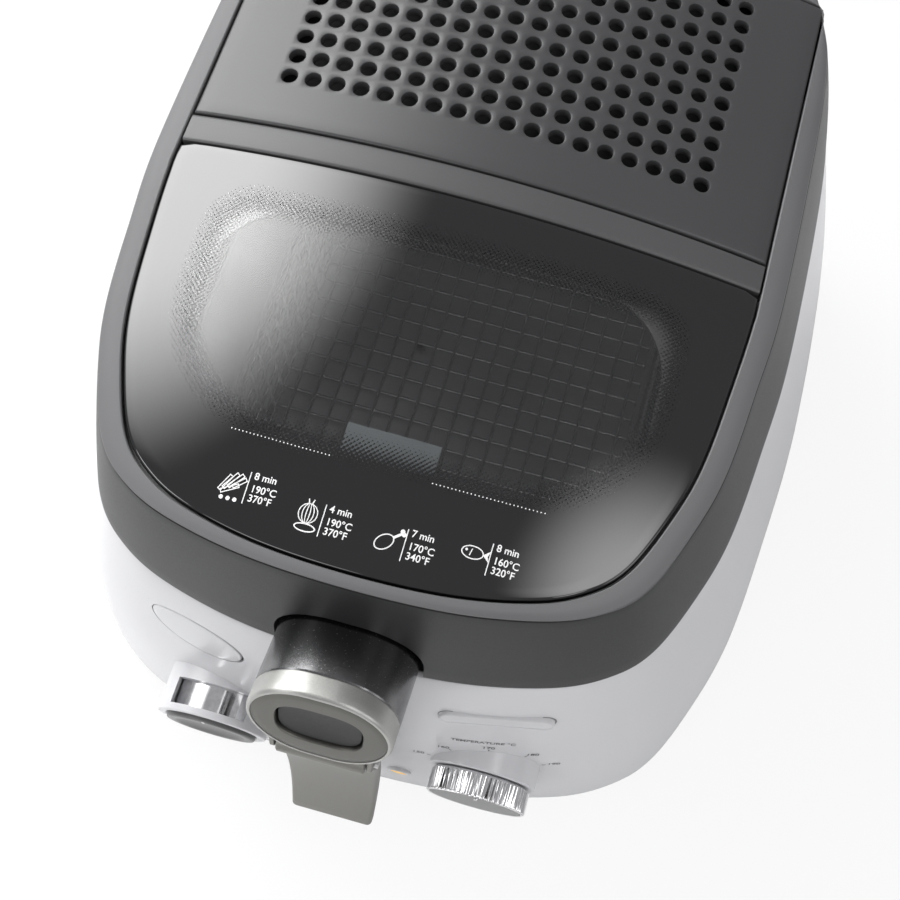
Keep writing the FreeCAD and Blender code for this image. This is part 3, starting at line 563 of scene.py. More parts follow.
def opening_loop(grow, rear, corner):
    """Window front, straight sides and a square rear: outline of both openings together, in millimetres."""
    half, front = OPENING_HALF + grow, OPENING_FRONT - grow
    right = [p for p in half_outline(half, front, front + 2.3 * half, 10) if p.y < front + 1.2 * half]
    edge = Vector((half, rear))
    right += [Vector((half, right[-1].y + 2))]
    right += rounded_corner(edge, right[-1], Vector((0, rear)), corner)
    return right + [Vector((-p.x, p.y)) for p in reversed(right[1:])]


def on_crown(x, y, lift):
    """Place so far above the lid's top, from millimetres to metres."""
    return Vector((x, y, crown(x, y) + lift)) * MM


def skirt_rings():
    """Top line of the skirt, and a function for its ring at a share of its height."""
    heights = [SKIRT_FOOT + SKIRT_STEP * k for k in range(SKIRT_STEPS + 1)]
    columns = [[p / MM for p in ring_at(SKIRT_LEVELS, z, 0, 14)] for z in heights]
    tops = []
    for i in range(len(columns[0])):
        for low, high in zip(columns, columns[1:]):
            a, b = low[i], high[i]
            over_a, over_b = a.z - crown(a.x, a.y), b.z - crown(b.x, b.y)
            if over_a <= 0 <= over_b:
                break
        tops.append(a.lerp(b, -over_a / (over_b - over_a)))

    def side(share, inset=0.0):
        ring = []
        for i, top in enumerate(tops):
            step = (top.z - SKIRT_FOOT) * share / SKIRT_STEP
            k = min(int(step), SKIRT_STEPS - 1)
            p = columns[k][i].lerp(columns[k + 1][i], step - k)
            flat = Vector((p.x, p.y - 10, 0))
            ring.append(p - flat.normalized() * inset)
        return ring

    return tops, side


def lid_ring():
    tops, side = skirt_rings()
    centre = Vector((0, -10))
    hole = opening_loop(OPENING_GAP, OPENING_REAR, OPENING_CORNER)
    inner = [ray_to(hole, centre, p.xy) for p in tops]

    def band(share, down=0.0):
        """Ring part of the way from the ridge to the opening, at the lid's own height less so much."""
        ring = []
        for top, near in zip(tops, inner):
            p = top.xy.lerp(near, share)
            ring.append(Vector((p.x, p.y, crown(p.x, p.y) - down)))
        return ring

    wall = ((0.0, 1.0), (0.008, 0.2), (0.03,), (0.15,), (0.3,), (0.45,), (0.6,), (0.75,), (0.88,), (0.95,))
    groove = ((0.962, 0.1), (0.966, 0.75), (0.976, 0.75), (0.981, 0.1), (0.99, 0.2))
    flat = ((0.16, 0.35), (0.3, 0.06), (0.5,), (0.8,), (0.93, 0.1), (0.985, 0.5), (1.0, 1.2),
            (1.0, PANEL_DEPTH), (0.6, PANEL_DEPTH))
    rings = [side(*row) for row in wall + groove] + [band(*row) for row in flat]
    rings += [side(share, 3.0) for share in (0.9, 0.6, 0.3, 0.0)]
    mesh = drawn([[p * MM for p in ring] for ring in rings], closed=True)
    made = piece("lid_shell", mesh, DARK, "lid", "dark_frame", "lid_frame")
    notch = drawn([obround(57.2, 49.2, along, HANDLE) for along in (-45, 9)])
    below = slab((-28.6, -176, 160), (28.6, -136, 178.5))
    carve(made, notch, below)


def sweep_x(name, section, half, material, slot, count=48):
    """Bar across the lid whose section (y, depth below the lid's top) follows the arch."""
    rings = []
    for k in range(count + 1):
        x = half * (2 * k / count - 1)
        rings.append([on_crown(x, y, -down) for y, down in section])
    piece(name, drawn(rings), material, "lid", slot)


STRIP = [(2.8, PANEL_DEPTH), (2.8, 1.0), (3.0, 0.45), (3.5, 0.1), (4.2, 0), (13.3, 0), (14.0, 0.1),
         (14.5, 0.45), (14.7, 1.0), (14.7, PANEL_DEPTH)]
SEAM_FLOOR = [(1.6, 4.4), (1.6, 3.4), (15.9, 3.4), (15.9, 4.4)]


def strip_and_seams():
    """Bar between window and cover, dark floor of the seams beside it and dark ledge round both, whose
    near-black is the inner black painted darker as the shade in the gaps.
    """
    sweep_x("cross_strip", STRIP, 110.9, DARK_TOP, "dark_frame")
    sweep_x("seam_floor", SEAM_FLOOR, 112.0, GAP_FILL_PAINTED_SHADE, "inner_black")
    rings = []
    for grow, down in ((-1.5, 4.1), (1.6, 4.1), (1.6, 4.6), (-1.5, 4.6)):
        loop = opening_loop(grow, COVER_REAR + grow, OPENING_CORNER)
        rings.append([on_crown(p.x, p.y, -down) for p in loop])
    piece("seam_ledge", drawn(rings, closed=True), GAP_FILL_PAINTED_SHADE, "lid", "inner_black")


def window_panel():
    """Pane that follows the lid's arch, with a rounded edge."""
    centre = Vector((0, -58))
    loop = opening_loop(0.0, 2.0, 2.5)
    rim = [ray_to(loop, centre, centre + Vector((s, -c))) for c, s in circle(220)]
    edge = [(1.0, PANEL_DEPTH), (1.0, 0.9), (0.998, 0.35), (0.994, 0.08), (0.988, 0.0)]
    face = [(1.0 - 0.05 * k, 0.0) for k in range(1, 20)] + [(0.012, 0.0)]
    rings = []
    for share, down in edge + face:
        flat = [centre.lerp(p, share) for p in rim]
        rings.append([on_crown(p.x, p.y, -down) for p in flat])
    thick = Vector((0, 0, PANEL_DEPTH * MM))
    under = [[v - thick for v in ring] for ring in reversed(rings[len(edge):])]
    mesh = drawn(rings + under, closed=True)
    piece("window_panel", mesh, GLASS, "lid", "black_glass", "lid_window")


def edge_drop(x, y):
    """How far the cover's edge is rounded down at a place, in millimetres."""
    edge = min(OPENING_HALF - abs(x), y - COVER_FRONT, COVER_REAR - y)
    if edge >= COVER_EDGE:
        return 0.0
    return COVER_EDGE - sqrt(max(0.0, COVER_EDGE ** 2 - (COVER_EDGE - edge) ** 2))


def filter_panel():
    """Grid of faces whose cells are opened into round holes, drawn down at the holes and round the edge."""
    pitch, per_cell = HOLE_PITCH, 6
    reach = HOLE_COLUMNS / 2 * pitch
    first, last = HOLE_FRONT - pitch / 2, HOLE_FRONT + (HOLE_ROWS - 0.5) * pitch
    outer_xs = [92, 98, 104, 109.8, 110.4, 110.8, OPENING_HALF]
    xs = [-x for x in reversed(outer_xs)]
    xs += [pitch * (k / per_cell - HOLE_COLUMNS / 2) for k in range(HOLE_COLUMNS * per_cell + 1)] + outer_xs
    ys = [COVER_FRONT, 15.7, 16.1, 16.7, 22, 28]
    ys += [first + pitch * k / per_cell for k in range(HOLE_ROWS * per_cell + 1)]
    ys += [132, 136.3, 136.9, 137.3, COVER_REAR]
    mesh = bmesh.new()
    bmesh.ops.create_grid(mesh, x_segments=len(xs) - 1, y_segments=len(ys) - 1, size=1.0)
    for vert in mesh.verts:
        i = round((vert.co.x + 1) / 2 * (len(xs) - 1))
        j = round((vert.co.y + 1) / 2 * (len(ys) - 1))
        vert.co = Vector((xs[i], ys[j], 0))

    def centre_of(place):
        """Middle of the hole whose cell holds the place."""
        column, row = floor((place.x + reach) / pitch), floor((place.y - first) / pitch)
        return Vector((pitch * (column + 0.5 - HOLE_COLUMNS / 2), HOLE_FRONT + pitch * row, 0))

    cells = {}
    for face in mesh.faces:
        middle = face.calc_center_median()
        if abs(middle.x) < reach and first < middle.y < last:
            centre = centre_of(middle)
            if max(map(abs, middle - centre)) < pitch / 3:
                cells.setdefault(tuple(centre), []).append(face)
    for place, inner in cells.items():
        centre = Vector(place)
        rim = {vert: None for face in inner for vert in face.verts
               if any(other not in inner for other in vert.link_faces)}
        for vert in rim:
            vert.co = centre + (vert.co - centre).normalized() * (HOLE_RADIUS + 0.45)
        bmesh.ops.delete(mesh, geom=inner, context="FACES")
    rims = [edge for edge in mesh.edges if edge.is_boundary and abs(edge.verts[0].co.x) < reach
            and first < edge.verts[0].co.y < last]
    depths = {}
    for radius, depth in ((HOLE_RADIUS + 0.2, 0.12), (HOLE_RADIUS, 0.5), (HOLE_RADIUS, COVER_DEPTH)):
        grown = bmesh.ops.extrude_edge_only(mesh, edges=rims)["geom"]
        rims = [item for item in grown if isinstance(item, BMEdge) and item.is_boundary]
        for vert in {vert: None for edge in rims for vert in edge.verts}:
            centre = centre_of(vert.co)
            vert.co = centre + (vert.co - centre).normalized() * radius
            depths[vert] = depth
    outer = [edge for edge in mesh.edges if edge.is_boundary and edge not in rims]
    skirt = bmesh.ops.extrude_edge_only(mesh, edges=outer)["geom"]
    depths.update({item: COVER_DEPTH for item in skirt if isinstance(item, BMVert)})
    for vert in mesh.verts:
        x, y, _ = vert.co
        depth = depths[vert] if vert in depths else edge_drop(x, y)
        vert.co = on_crown(x, y, -depth)
    piece("filter_panel", mesh, COVER, "cover", "filter_grey", "filter_cover")


# Handle: barrel with its two ears, silver collar, sunk push button and folding lever
PIVOT, LEVER_END = Vector((0, -187.53, 159.15)), Vector((0, -201.03, 60.65))
LEVER_BOW, EAR_RADIUS = 14, 4.0


def lever_ear(side):
    """Thin cheek beside the lever's hub, round below and run up into the barrel."""
    up = Vector((0, sin(HANDLE_TILT), cos(HANDLE_TILT))) * 12
    angles = [pi * (k / 32 - 1) - HANDLE_TILT for k in range(33)]
    rings = []
    for inset, x in ((0.6, 17.5), (0, 17.9), (0, 19.4), (0.6, 19.8)):
        centre, radius = PIVOT + Vector((side * x, 0, 0)), EAR_RADIUS - inset
        ring = [centre + Vector((0, cos(angle), sin(angle))) * radius for angle in angles]
        rings.append([p * MM for p in ring + [ring[-1] + up, ring[0] + up]])
    piece("lever_ear_%d" % (side + 2), drawn(rings), LEVER, "housing", "barrel_gloss")


def lever_ring(share, inset=0.0):
    """Round-cornered section of the bowed blade, at a share of its length."""
    wide = 17.0 + 3.0 * min(1.0, max(0.0, share - 0.09) / 0.05) - 2.6 * max(0.0, share - 0.2)
    pull = (PIVOT + LEVER_END) / 2 + Vector((0, LEVER_BOW, 0))
    place = PIVOT * (1 - share) ** 2 + pull * 2 * share * (1 - share) + LEVER_END * share ** 2
    deep = 3.0 - min(inset, 1.1)
    return [(place + p.to_3d()) * MM for p in rounded_box(wide - inset, -deep, deep, 1.8, 6)]


def handle():
    barrel = [(52, 44, -45), (53.4, 45.4, -44.4), (54, 46, -43), (54, 46, -30), (54, 46, -18),
              (54, 46, -9.6), (53.2, 45.2, -9.0)]
    rim = [(53.4, 45.4, -9), (54, 46, -8.6), (54, 46, -4), (54, 46, -1.6), (53.6, 45.6, -0.7),
           (52.6, 44.6, -0.15), (51.4, 43.4, 0), (50.6, 42.6, -0.1), (50.4, 42.4, -9)]
    face = [(50.3, 42.3, -9), (50.3, 42.3, -0.35), (49.8, 41.8, -0.2), (44, 35, -0.1), (36, 27.5, -0.1, 2.6),
            (32.8, 24.8, -0.15, 3), (32.4, 24.4, -0.4, 3), (32.2, 24.2, -1.0, 3), (32.2, 24.2, -9, 3)]
    button = [(31, 23, -10.5, 3), (31, 23, -2.0, 3), (30.7, 22.7, -1.65, 3), (30, 22, -1.5, 3),
              (28, 20, -1.6, 3), (20, 14, -2.0, 2.6), (1, 0.7, -2.25)]
    obround_piece("barrel", barrel, HANDLE, BARREL, "housing", "barrel_gloss", "handle_barrel")
    for side in (-1, 1):
        lever_ear(side)
    obround_piece("collar_band", rim, HANDLE, COLLAR, "housing", "collar_silver", "handle_collar",
                  closed=True)
    obround_piece("collar_face", face, HANDLE, COLLAR_FACE, "housing", "collar_silver", closed=True)
    obround_piece("push_button", button, HANDLE, BUTTON, "grip_button", "button_dark", "handle_button")
    blade = [lever_ring(0.02 + 0.96 * k / 24) for k in range(25)]
    blade += [lever_ring(0.99, 0.25), lever_ring(0.996, 0.7), lever_ring(1.0, 1.1)]
    piece("lever_blade", drawn(blade), LEVER, "lever", "lever_grey", "handle_lever")
    hub = [[(PIVOT + Vector((x, radius * c, radius * s))) * MM for c, s in circle(48)]
           for radius, x in ((4.9, -17), (5.5, -16.4), (5.5, 16.4), (4.9, 17))]
    piece("lever_hub", drawn(hub), LEVER, "lever", "lever_grey")


def thermostat():
    """White boss, knurled chrome ring and pale face with its pointer."""
    x, z = RIGHT_KNOB
    boss = [(22.9, -172.8), (23.5, -172.2), (23.5, -168), (23.5, -148)]
    rim = [(18, -177), (18, -182.6), (20.1, -182.6), (20.1, -183.6), (20.4, -183.8), (20.8, -183.8),
           (21.0, -183.6), (21.7, -183.2, True), (21.75, -182.8, True), (21.75, -174.4, True),
           (21.1, -173.9), (20.6, -173.3), (18, -173.3)]
    disc = [(17.9, -176.4), (17.9, -182.7), (19.95, -182.7), (19.95, -183.5), (19.6, -183.75), (14, -183.9),
            (7, -184.0), (0.4, -184.05)]
    turned("boss", boss, RIGHT_KNOB, WHITE, "housing", "white_shell", "thermostat_boss")
    turned("knob_rim", rim, RIGHT_KNOB, CHROME, "thermostat_knob", "knob_chrome", "knob_ring", closed=True,
           steps=360, flute=0.7, teeth=60)
    turned("knob_disc", disc, RIGHT_KNOB, FACE, "thermostat_knob", "face_grey", "knob_face")
    mark = slab((x - 0.8, -184.3, z + 13.5), (x + 0.8, -183.6, z + 19))
    bmesh.ops.bevel(mark, geom=mark.edges[:], offset=0.15 * MM, affect="EDGES", segments=2, profile=0.5,
                    material=-1)
    piece("knob_pointer", mark, CHROME, "thermostat_knob", "face_grey")


def timer():
    """White cup with a slot in its top, chrome drum and dished face."""
    x, z = LEFT_KNOB
    wall = [(20, -164), (20, -181.7), (20.4, -182.3), (21.0, -182.5), (23.0, -182.5), (23.7, -182.2),
            (24, -181.5), (24, -176), (24, -148), (20, -148)]
    drum = [(19.0, -181.9), (19.5, -181.5), (19.5, -178), (19.5, -165.2), (19, -164.7)]
    disc = [(19.3, -181.9), (19.5, -182.2), (19.5, -183.6), (19.1, -184.1), (18.4, -184.3), (15.8, -184.3),
            (15.2, -184.0), (13.5, -183.1), (9, -182.5), (0.4, -182.35)]
    cup = turned("cup", wall, LEFT_KNOB, WHITE, "housing", "white_shell", "timer_cup", closed=True)
    carve(cup, slab((x - 16, -179.5, z), (x + 16, -168.5, z + 26)))
    turned("drum", drum, LEFT_KNOB, CHROME, "timer_knob", "knob_chrome", "timer_drum")
    turned("timer_disc", disc, LEFT_KNOB, TIMER_FACE, "timer_knob", "dial_grey", "timer_face")
    line = slab((x - 0.6, -184.35, z + 16), (x + 0.6, -184.1, z + 19))
    piece("timer_pointer", line, PRINT, "timer_knob", "dial_grey")


def pilot_lamp():
    """Amber lens in a white bezel, as far out as the wall is there."""
    place = (22, 47)
    front = wall_front(*place)
    bezel = [(4.1, 3), (4.1, -0.7), (4.5, -1.0), (5.1, -0.8), (5.6, -0.1), (5.6, 3)]
    lens = [(4, 14), (4, -0.4), (3.5, -0.9), (2.2, -1.15), (0.3, -1.2)]
    bezel, lens = ([(radius, front + along) for radius, along in rows] for rows in (bezel, lens))
    turned("lamp_bezel", bezel, place, WHITE, "housing", "white_shell", closed=True, steps=48)
    turned("lamp", lens, place, LAMP, "housing", "lamp_amber", "lamp_lens", steps=48)


def to_wall(ring, out):
    """Lay a ring on the front wall, so many millimetres out of it."""
    return [Vector((p.x, (wall_front(p.x / MM, p.z / MM) - out) * MM, p.z)) for p in ring]


def release_pad():
    """Oval lid release whose face follows the wall, with a near-black ring sunk in the seam round it: the
    black guide behind, painted darker as the seam's shade.
    """
    rings = [oval(41.4, 25.4, -8.5, RELEASE)]
    for wide, tall, out in ((41.4, 25.4, -0.6), (41.2, 25.2, -0.1), (40.6, 24.6, 0.25), (39.4, 23.4, 0.4),
                            (33, 19, 0.45), (24, 13, 0.5), (14, 7, 0.5), (1, 0.5, 0.5)):
        rings.append(to_wall(oval(wide, tall, out, RELEASE), out))
    piece("release_pad", drawn(rings), WHITE, "release", "white_shell", "release_button")
    seam = ((43.4, 27.4, -2.8), (43.4, 27.4, -0.8), (41.6, 25.6, -0.8), (41.6, 25.6, -2.8))
    rings = [to_wall(oval(wide, tall, 0, RELEASE), out) for wide, tall, out in seam]
    piece("release_seam", drawn(rings, closed=True), GAP_FILL_PAINTED_SHADE, "housing", "inner_black")


def bare_plate():
    """Raised rim round a bare field, and the thin grey line laid on the wall round it: painted shade in the
    crease at the rim's foot.
    """
    rim = [(46, 9.5, -3), (46, 9.5, 0.35), (45.5, 9.0, 0.8), (44.8, 8.3, 1.0), (44.0, 7.5, 0.9),
           (43.6, 7.1, 0.6), (42, 5.5, 0.55), (37, 0.5, 0.55)]
    obround_piece("plate_rim", rim, PLATE, WHITE, "housing", "white_shell", "bare_plate")
    line = ((46.9, 10.4, -0.3), (46.9, 10.4, 0.1), (45.6, 9.1, 0.1), (45.6, 9.1, -0.3))
    rings = [to_wall(obround(wide, tall, 0, PLATE), out) for wide, tall, out in line]
    piece("plate_seam", drawn(rings, closed=True), RIM_FOOT_SHADE, "housing", "white_shell")


# Print on glass and wall, in millimetres
PRINT_LIFT = 0.12


def flat_text(words, height):
    """Letters as a flat mesh with its left end at the origin, in millimetres."""
    curve = bpy.data.curves.new("letters", "FONT")
    curve.body = words
    curve.size = height / 0.69
    curve.resolution_u = 4
    curve.offset = 0.02 * height
    letters = linked(bpy.data.objects.new("letters", curve))
    data = mesh_of(letters)
    bpy.data.objects.remove(letters)
    bpy.data.curves.remove(curve)
    mesh = bmesh.new()
    mesh.from_mesh(data)
    bpy.data.meshes.remove(data)
    return mesh


def on_glass(name, mesh, x, y):
    """Lay flat print on the window."""
    for vert in mesh.verts:
        vert.co = on_crown(x + vert.co.x, y + vert.co.y, PRINT_LIFT)
    piece(name, mesh, PRINT, "lid", "black_glass")


def polygon(mesh, points):
    bmesh.ops.contextual_create(mesh, geom=loop_of(mesh, [Vector((x, y, 0)) for x, y in points]))


def band(mesh, outer, inner):
    stack(mesh, [[Vector((x, y, 0)) for x, y in ring] for ring in (outer, inner)], capped=False)


def ellipse(cx, cy, rx, ry, turn=0.0, count=28):
    c, s = cos(radians(turn)), sin(radians(turn))
    return [(cx + c * rx * x - s * ry * y, cy + s * rx * x + c * ry * y) for x, y in circle(count)]


def corners(a, b, half):
    """Corners of a bar between two points in the plane."""
    a, b = Vector(a), Vector(b)
    way = (b - a).normalized() * half
    across = Vector((-way.y, way.x))
    return [tuple(p + side * across) for p, side in ((a, 1), (a, -1), (b, -1), (b, 1))]


def bar(mesh, a, b, wide):
    polygon(mesh, corners(a, b, wide / 2))


def icon_sticks():
    mesh = bmesh.new()
    for x, y, turn, long in ((-2.4, -0.6, 62, 6.4), (-0.7, 0.3, 55, 7.0), (1.0, 0.6, 50, 6.6),
                             (2.4, 0.2, 40, 5.4), (-0.4, -2.2, 28, 6.6)):
        middle = Vector((x, y))
        way = Vector((cos(radians(turn)), sin(radians(turn))))
        rings = []
        for reach, half in ((long / 2, 0.8), (long / 2 - 0.3, 0.45)):
            rings.append(corners(middle - way * reach, middle + way * reach, half))
        band(mesh, *rings)
    for k in range(3):
        polygon(mesh, ellipse(-2.4 + 2.4 * k, -5.6, 0.75, 0.75, count=14))
    return mesh


def icon_bulb():
    mesh = bmesh.new()
    for rx in (3.4, 2.1, 0.8):
        band(mesh, ellipse(0, 0.4, rx, 3.5), ellipse(0, 0.4, rx - 0.35, 3.2))
    bar(mesh, (-0.5, 3.7), (-1.0, 5.3), 0.4)
    bar(mesh, (0.5, 3.7), (1.0, 5.3), 0.4)
    band(mesh, ellipse(0.2, -4.4, 3.8, 1.5), ellipse(0.2, -4.4, 3.3, 1.05))
    return mesh


def icon_leg():
    mesh = bmesh.new()
    band(mesh, ellipse(-1.6, -1.4, 3.6, 2.5, 38), ellipse(-1.6, -1.4, 3.2, 2.1, 38))
    bar(mesh, (1.0, 0.6), (4.0, 3.0), 0.9)
    polygon(mesh, ellipse(4.3, 2.5, 0.8, 0.8, count=14))
    polygon(mesh, ellipse(3.6, 3.4, 0.8, 0.8, count=14))
    return mesh


def icon_fish():
    mesh = bmesh.new()
    band(mesh, ellipse(-0.8, 0, 3.9, 2.3), ellipse(-0.8, 0, 3.5, 1.9))
    polygon(mesh, [(2.8, 0), (5.2, 2.0), (4.5, 0), (5.2, -2.0)])
    polygon(mesh, ellipse(-3.0, 0.5, 0.45, 0.45, count=12))
    bar(mesh, (-1.6, -1.2), (-1.1, 1.2), 0.35)
    return mesh


# Guide print: each drawing, its place and the plain numbers beside it, with a thin rule between
GUIDE = ((icon_sticks, -47.4, -120.1, ("8 min", "190°C", "370°F")),
         (icon_bulb, -19.6, -124.4, ("4 min", "190°C", "370°F")),
         (icon_leg, 9.1, -125.0, ("7 min", "170°C", "340°F")),
         (icon_fish, 37.6, -121.7, ("8 min", "160°C", "320°F")))
GUIDE_ROWS, GUIDE_TEXT = (2.6, -1.7, -5.0), 2.4
DOT_STEP = 1.35


def guide_print():
    for number, (drawing, x, y, lines) in enumerate(GUIDE):
        on_glass("guide_drawing_%d" % number, drawing(), x, y)
        rule = bmesh.new()
        bar(rule, (0, 4.8), (0, -6.2), 0.35)
        on_glass("guide_rule_%d" % number, rule, x + 5.2, y)
        for row, words in enumerate(lines):
            name = "guide_text_%d_%d" % (number, row)
            on_glass(name, flat_text(words, GUIDE_TEXT), x + 6.6, y + GUIDE_ROWS[row])
    dots = bmesh.new()
    for start, end in ((-53.8, -17.5), (17.5, 56.7)):
        for k in range(int((end - start) / DOT_STEP) + 1):
            x = start + DOT_STEP * k
            polygon(dots, ellipse(x, -103.4 + 0.0004 * x * x, 0.24, 0.24, count=8))
    on_glass("guide_dots", dots, 0, 0)


def on_front(name, mesh, x, z):
    """Lay flat print on the front wall, seen straight along Y."""
    for vert in mesh.verts:
        across, up = x + vert.co.x, z + vert.co.y
        vert.co = Vector((across, wall_front(across, up) - PRINT_LIFT, up)) * MM
    piece(name, mesh, PRINT_GREY, "housing", "white_shell")


def centred(mesh):
    places = [vert.co.x for vert in mesh.verts]
    bmesh.ops.translate(mesh, verts=mesh.verts, vec=(-(min(places) + max(places)) / 2, 0, 0))
    return mesh


def dial_print():
    x, z = RIGHT_KNOB
    on_front("dial_heading", centred(flat_text("TEMPERATURE °C", 2.3)), 56, 112)
    numbers = (("150", 162), ("160", 128), ("170", 90), ("180", 52), ("190", 18))
    for k, (words, turn) in enumerate(numbers):
        way = Vector((cos(radians(turn)), sin(radians(turn))))
        number = centred(flat_text(words, 2.5))
        on_front("dial_number_%d" % k, number, x + 30 * way.x, z - 1 + 28 * way.y)
        tick = bmesh.new()
        bar(tick, way * 24.6, way * 26.2, 0.5)
        on_front("dial_tick_%d" % k, tick, x, z)


def knuckle():
    """Hinge tube of the lid with its web to the skirt, bored for the pin."""
    def around(x, radius, c, s):
        return Vector((x, HINGE_Y + radius * c, HINGE_Z + radius * s)) * MM

    web = 182.5
    rings = []
    for x, inset in ((-58, 0.6), (-57.4, 0), (-30, 0), (0, 0), (30, 0), (57.4, 0), (58, 0.6)):
        radius = HINGE_RADIUS - inset
        angles = [radians(-180 + 270 * k / 27) for k in range(28)]
        ring = [around(x, radius, cos(angle), sin(angle)) for angle in angles]
        rings.append(ring + [Vector((x, web, z)) * MM for z in (HINGE_Z + radius, HINGE_Z)])
    tail = piece("lid_knuckle", drawn(rings), DARK, "lid", "dark_frame")
    carve(tail, drawn([[around(x, HINGE_BORE, c, s) for c, s in circle(40)] for x in (-70, 70)]))


# Wire basket: round wires up the walls, hoops round them, a crossed floor and a stout rim
BASKET_HALF, BASKET_FRONT, BASKET_REAR, BASKET_CORNER = 86, -86, 94, 40
BASKET_MIDDLE = (BASKET_FRONT + BASKET_REAR) / 2
RIM_RADIUS, WIRE_RADIUS = 1.8, 0.9


def tube(mesh, path, radius, closed=False, sides=8):
    rings = []
    for k, here in enumerate(path):
        before = path[k - 1] if closed or k else here
        after = path[(k + 1) % len(path)] if closed or k < len(path) - 1 else here
        way = (after - before).normalized()
        side = way.cross(Vector((0, 0, 1)) if abs(way.z) < 0.9 else Vector((1, 0, 0))).normalized()
        top = side.cross(way)
        rings.append([(here + radius * (side * c + top * s)) * MM for c, s in circle(sides)])
    stack(mesh, rings, closed=closed)


def basket_loop(inset, z):
    """Round-cornered path of the basket's wall, so far inside its outer face."""
    loop = rounded_box(BASKET_HALF - inset, BASKET_FRONT + inset, BASKET_REAR - inset,
                       BASKET_CORNER - inset, 9)
    return [Vector((p.x, p.y, z)) for p in loop]


def along_loop(path, pitch):
    """Places at even steps round a closed path."""
    long = sum((b - a).length for a, b in zip(path, path[1:] + path[:1]))
    step = long / round(long / pitch)
    places, left = [], 0.0
    for a, b in zip(path, path[1:] + path[:1]):
        reach = (b - a).length
        while left < reach - 1e-6:
            places.append(a.lerp(b, left / reach))
            left += step
        left -= reach
    return places


def wire_basket():
    low, high = 62.9, 64.6
    mesh = bmesh.new()
    tube(mesh, basket_loop(RIM_RADIUS, 138.2), RIM_RADIUS, True, 12)
    for level in range(6):
        tube(mesh, basket_loop(1.0, 63 + 13 * level), WIRE_RADIUS, True)
    for place in along_loop(basket_loop(2.1, 0), 10.5):
        tube(mesh, [place + Vector((0, 0, z)) for z in (low, 100, 138)], WIRE_RADIUS)
    loop = [p.xy for p in basket_loop(2.1, 0)]
    for step in range(-8, 9):
        for x, y, way, z in ((0, 10.2, Vector((1, 0)), low), (9.8, 0, Vector((0, 1)), high)):
            place = Vector((x * step, BASKET_MIDDLE + y * step))
            ends = [ray_to(loop, place, place + side * way) for side in (1, -1)]
            tube(mesh, [Vector((p.x, p.y, z)) for p in ends], WIRE_RADIUS)
    piece("wire_basket", mesh, WIRE, "basket", "basket_wire", "fry_basket", sharp=60.0)


for build in (body_shell, lid_ring, strip_and_seams, filter_panel, window_panel, handle,
              thermostat, timer, pilot_lamp, release_pad, bare_plate, guide_print,
              dial_print, knuckle, wire_basket):
    build()

# Finishes of the nodes that keep their CAD shape
CAD_FINISH = (
    (BLACK, "inner_deck base_plate filter_tray thermostat_unit timer_unit release_guide cord_gland"),
    (STEEL, "heating_ring heat_sensor pan_posts base_screws lever_pin thermostat_shaft timer_shaft"),
    (STEEL, "latch_hook hinge_pin"), (BLACK, "latch_stand"),
    (PAN, "oil_pan"), (RUBBER, "feet lid_seal"), (FELT, "filter_mat"),
    (LINER, "lid_liner"), (TAB, "window_tab"), (WIRE, "basket_arm"), (DARK, "lid_catch hinge_brackets"),
)
for finish, names in CAD_FINISH:
    for name in names.split():
        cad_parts[name].data.materials.clear()
        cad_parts[name].data.materials.append(finish)


# Floor, light and camera
def floor_finish():
    """White floor: mostly plain white to the camera, with a little of the shadow left in."""
    made = Finish("floor_white", (0.85, 0.85, 0.85), 0.9)
    made.set("Base Color", made.ramp(made.noise(3.0), (0.84,) * 3, (0.87,) * 3))
    plain = made.node("ShaderNodeEmission", {"Color": (1, 1, 1, 1), "Strength": 1.0})
    made.blend(made.node("ShaderNodeLightPath") * 0.86, plain)
    return made.material


def panel_finish(name, reach, strength):
    """Soft panel whose light dies away toward its rim."""
    made = Finish(name, (0, 0, 0), 1.0)
    scaled = made.node("ShaderNodeMapping", {"Vector": made.place(), "Scale": (1 / reach,) * 3})
    spread = made.node("ShaderNodeTexGradient", {"Vector": scaled}, gradient_type="SPHERICAL")
    share = made.ramp(spread, (0, 0, 0), (1, 1, 1), 0.0, 0.75)
    glow = made.node("ShaderNodeEmission", {"Color": (1, 1, 1, 1), "Strength": strength})
    made.blend(share, glow, made.node("ShaderNodeBsdfTransparent"))
    return made.material


def aim_at(made, place, aim, axis):
    made.location = place
    made.rotation_euler = (Vector(aim) - Vector(place)).to_track_quat(axis, "Y").to_euler()


def flat_stage(name, size, material, place=None, aim=None):
    mesh = bmesh.new()
    bmesh.ops.create_grid(mesh, x_segments=2, y_segments=2, size=size)
    made = placed(name, mesh)
    if aim:
        aim_at(made, place, aim, "Z")
    made.data.materials.append(material)


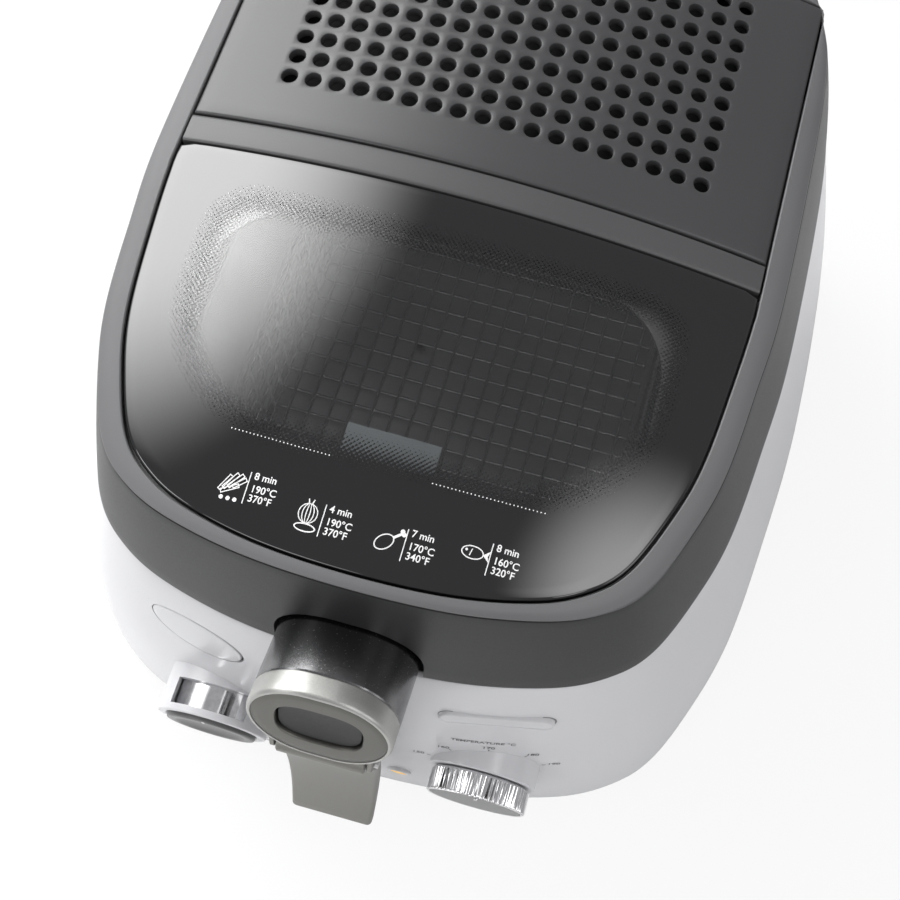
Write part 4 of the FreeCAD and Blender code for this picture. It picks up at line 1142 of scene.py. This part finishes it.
# Area lights: name, place, aim, width, height and power
LIGHTS = (("front", (-0.6, -1.5, 0.8), (0, -0.15, 0.1), 0.9, 0.9, 6),
          ("side", (1.4, -0.5, 0.9), (0.05, 0, 0.15), 0.8, 0.8, 3),
          ("left_streak", (-1.02, -0.60, 1.03), (0, -0.17, 0.2), 0.6, 0.28, 2.0),
          ("right_streak", (0.73, -0.70, 1.2), (0, -0.17, 0.2), 0.25, 0.2, 0.5))


def stage():
    flat_stage("floor", 6.0, floor_finish())
    light = panel_finish("panel_light", 1.15, 8.5)
    flat_stage("panel", 1.2, light, (-1.22, 0.74, 1.25), (-0.05, -0.02, 0.2))
    light = panel_finish("top_light", 0.45, 4.0)
    flat_stage("top_panel", 0.5, light, (0.66, -0.16, 1.5), (0.08, -0.1, 0.2))
    world = bpy.data.worlds.new("studio")
    bpy.context.scene.world = world
    world.use_nodes = True
    nodes, links = world.node_tree.nodes, world.node_tree.links
    path = nodes.new("ShaderNodeLightPath")
    mix = nodes.new("ShaderNodeMix")
    mix.data_type = "RGBA"
    mix.inputs[6].default_value = (0.38, 0.38, 0.39, 1)
    mix.inputs[7].default_value = (1, 1, 1, 1)
    links.new(path.outputs["Is Camera Ray"], mix.inputs[0])
    links.new(mix.outputs[2], nodes["Background"].inputs["Color"])
    for name, place, aim, wide, tall, power in LIGHTS:
        lamp = bpy.data.lights.new(name, "AREA")
        lamp.shape, lamp.size, lamp.size_y, lamp.energy = "ELLIPSE", wide, tall, power
        aim_at(linked(bpy.data.objects.new(name, lamp)), place, aim, "-Z")


def camera():
    """Steep view from the front, found from the grid of holes in the cover."""
    turn, rise, roll = radians(5.120), radians(68.857), radians(10.476)
    lean = Matrix.Rotation(pi / 2 - rise, 4, "X")
    facing = Matrix.Rotation(turn, 4, "Z") @ lean @ Matrix.Rotation(roll, 4, "Z")
    place = (0.0609, -0.2415, 0.6518)
    lens = bpy.data.cameras.new("camera")
    lens.sensor_width, lens.lens, lens.shift_x = 36, 51.94, -0.0912
    holder = linked(bpy.data.objects.new("camera", lens))
    holder.matrix_world = Matrix.Translation(place) @ facing
    bpy.context.scene.camera = holder


stage()
camera()
bpy.context.scene.view_settings.view_transform = "Standard"
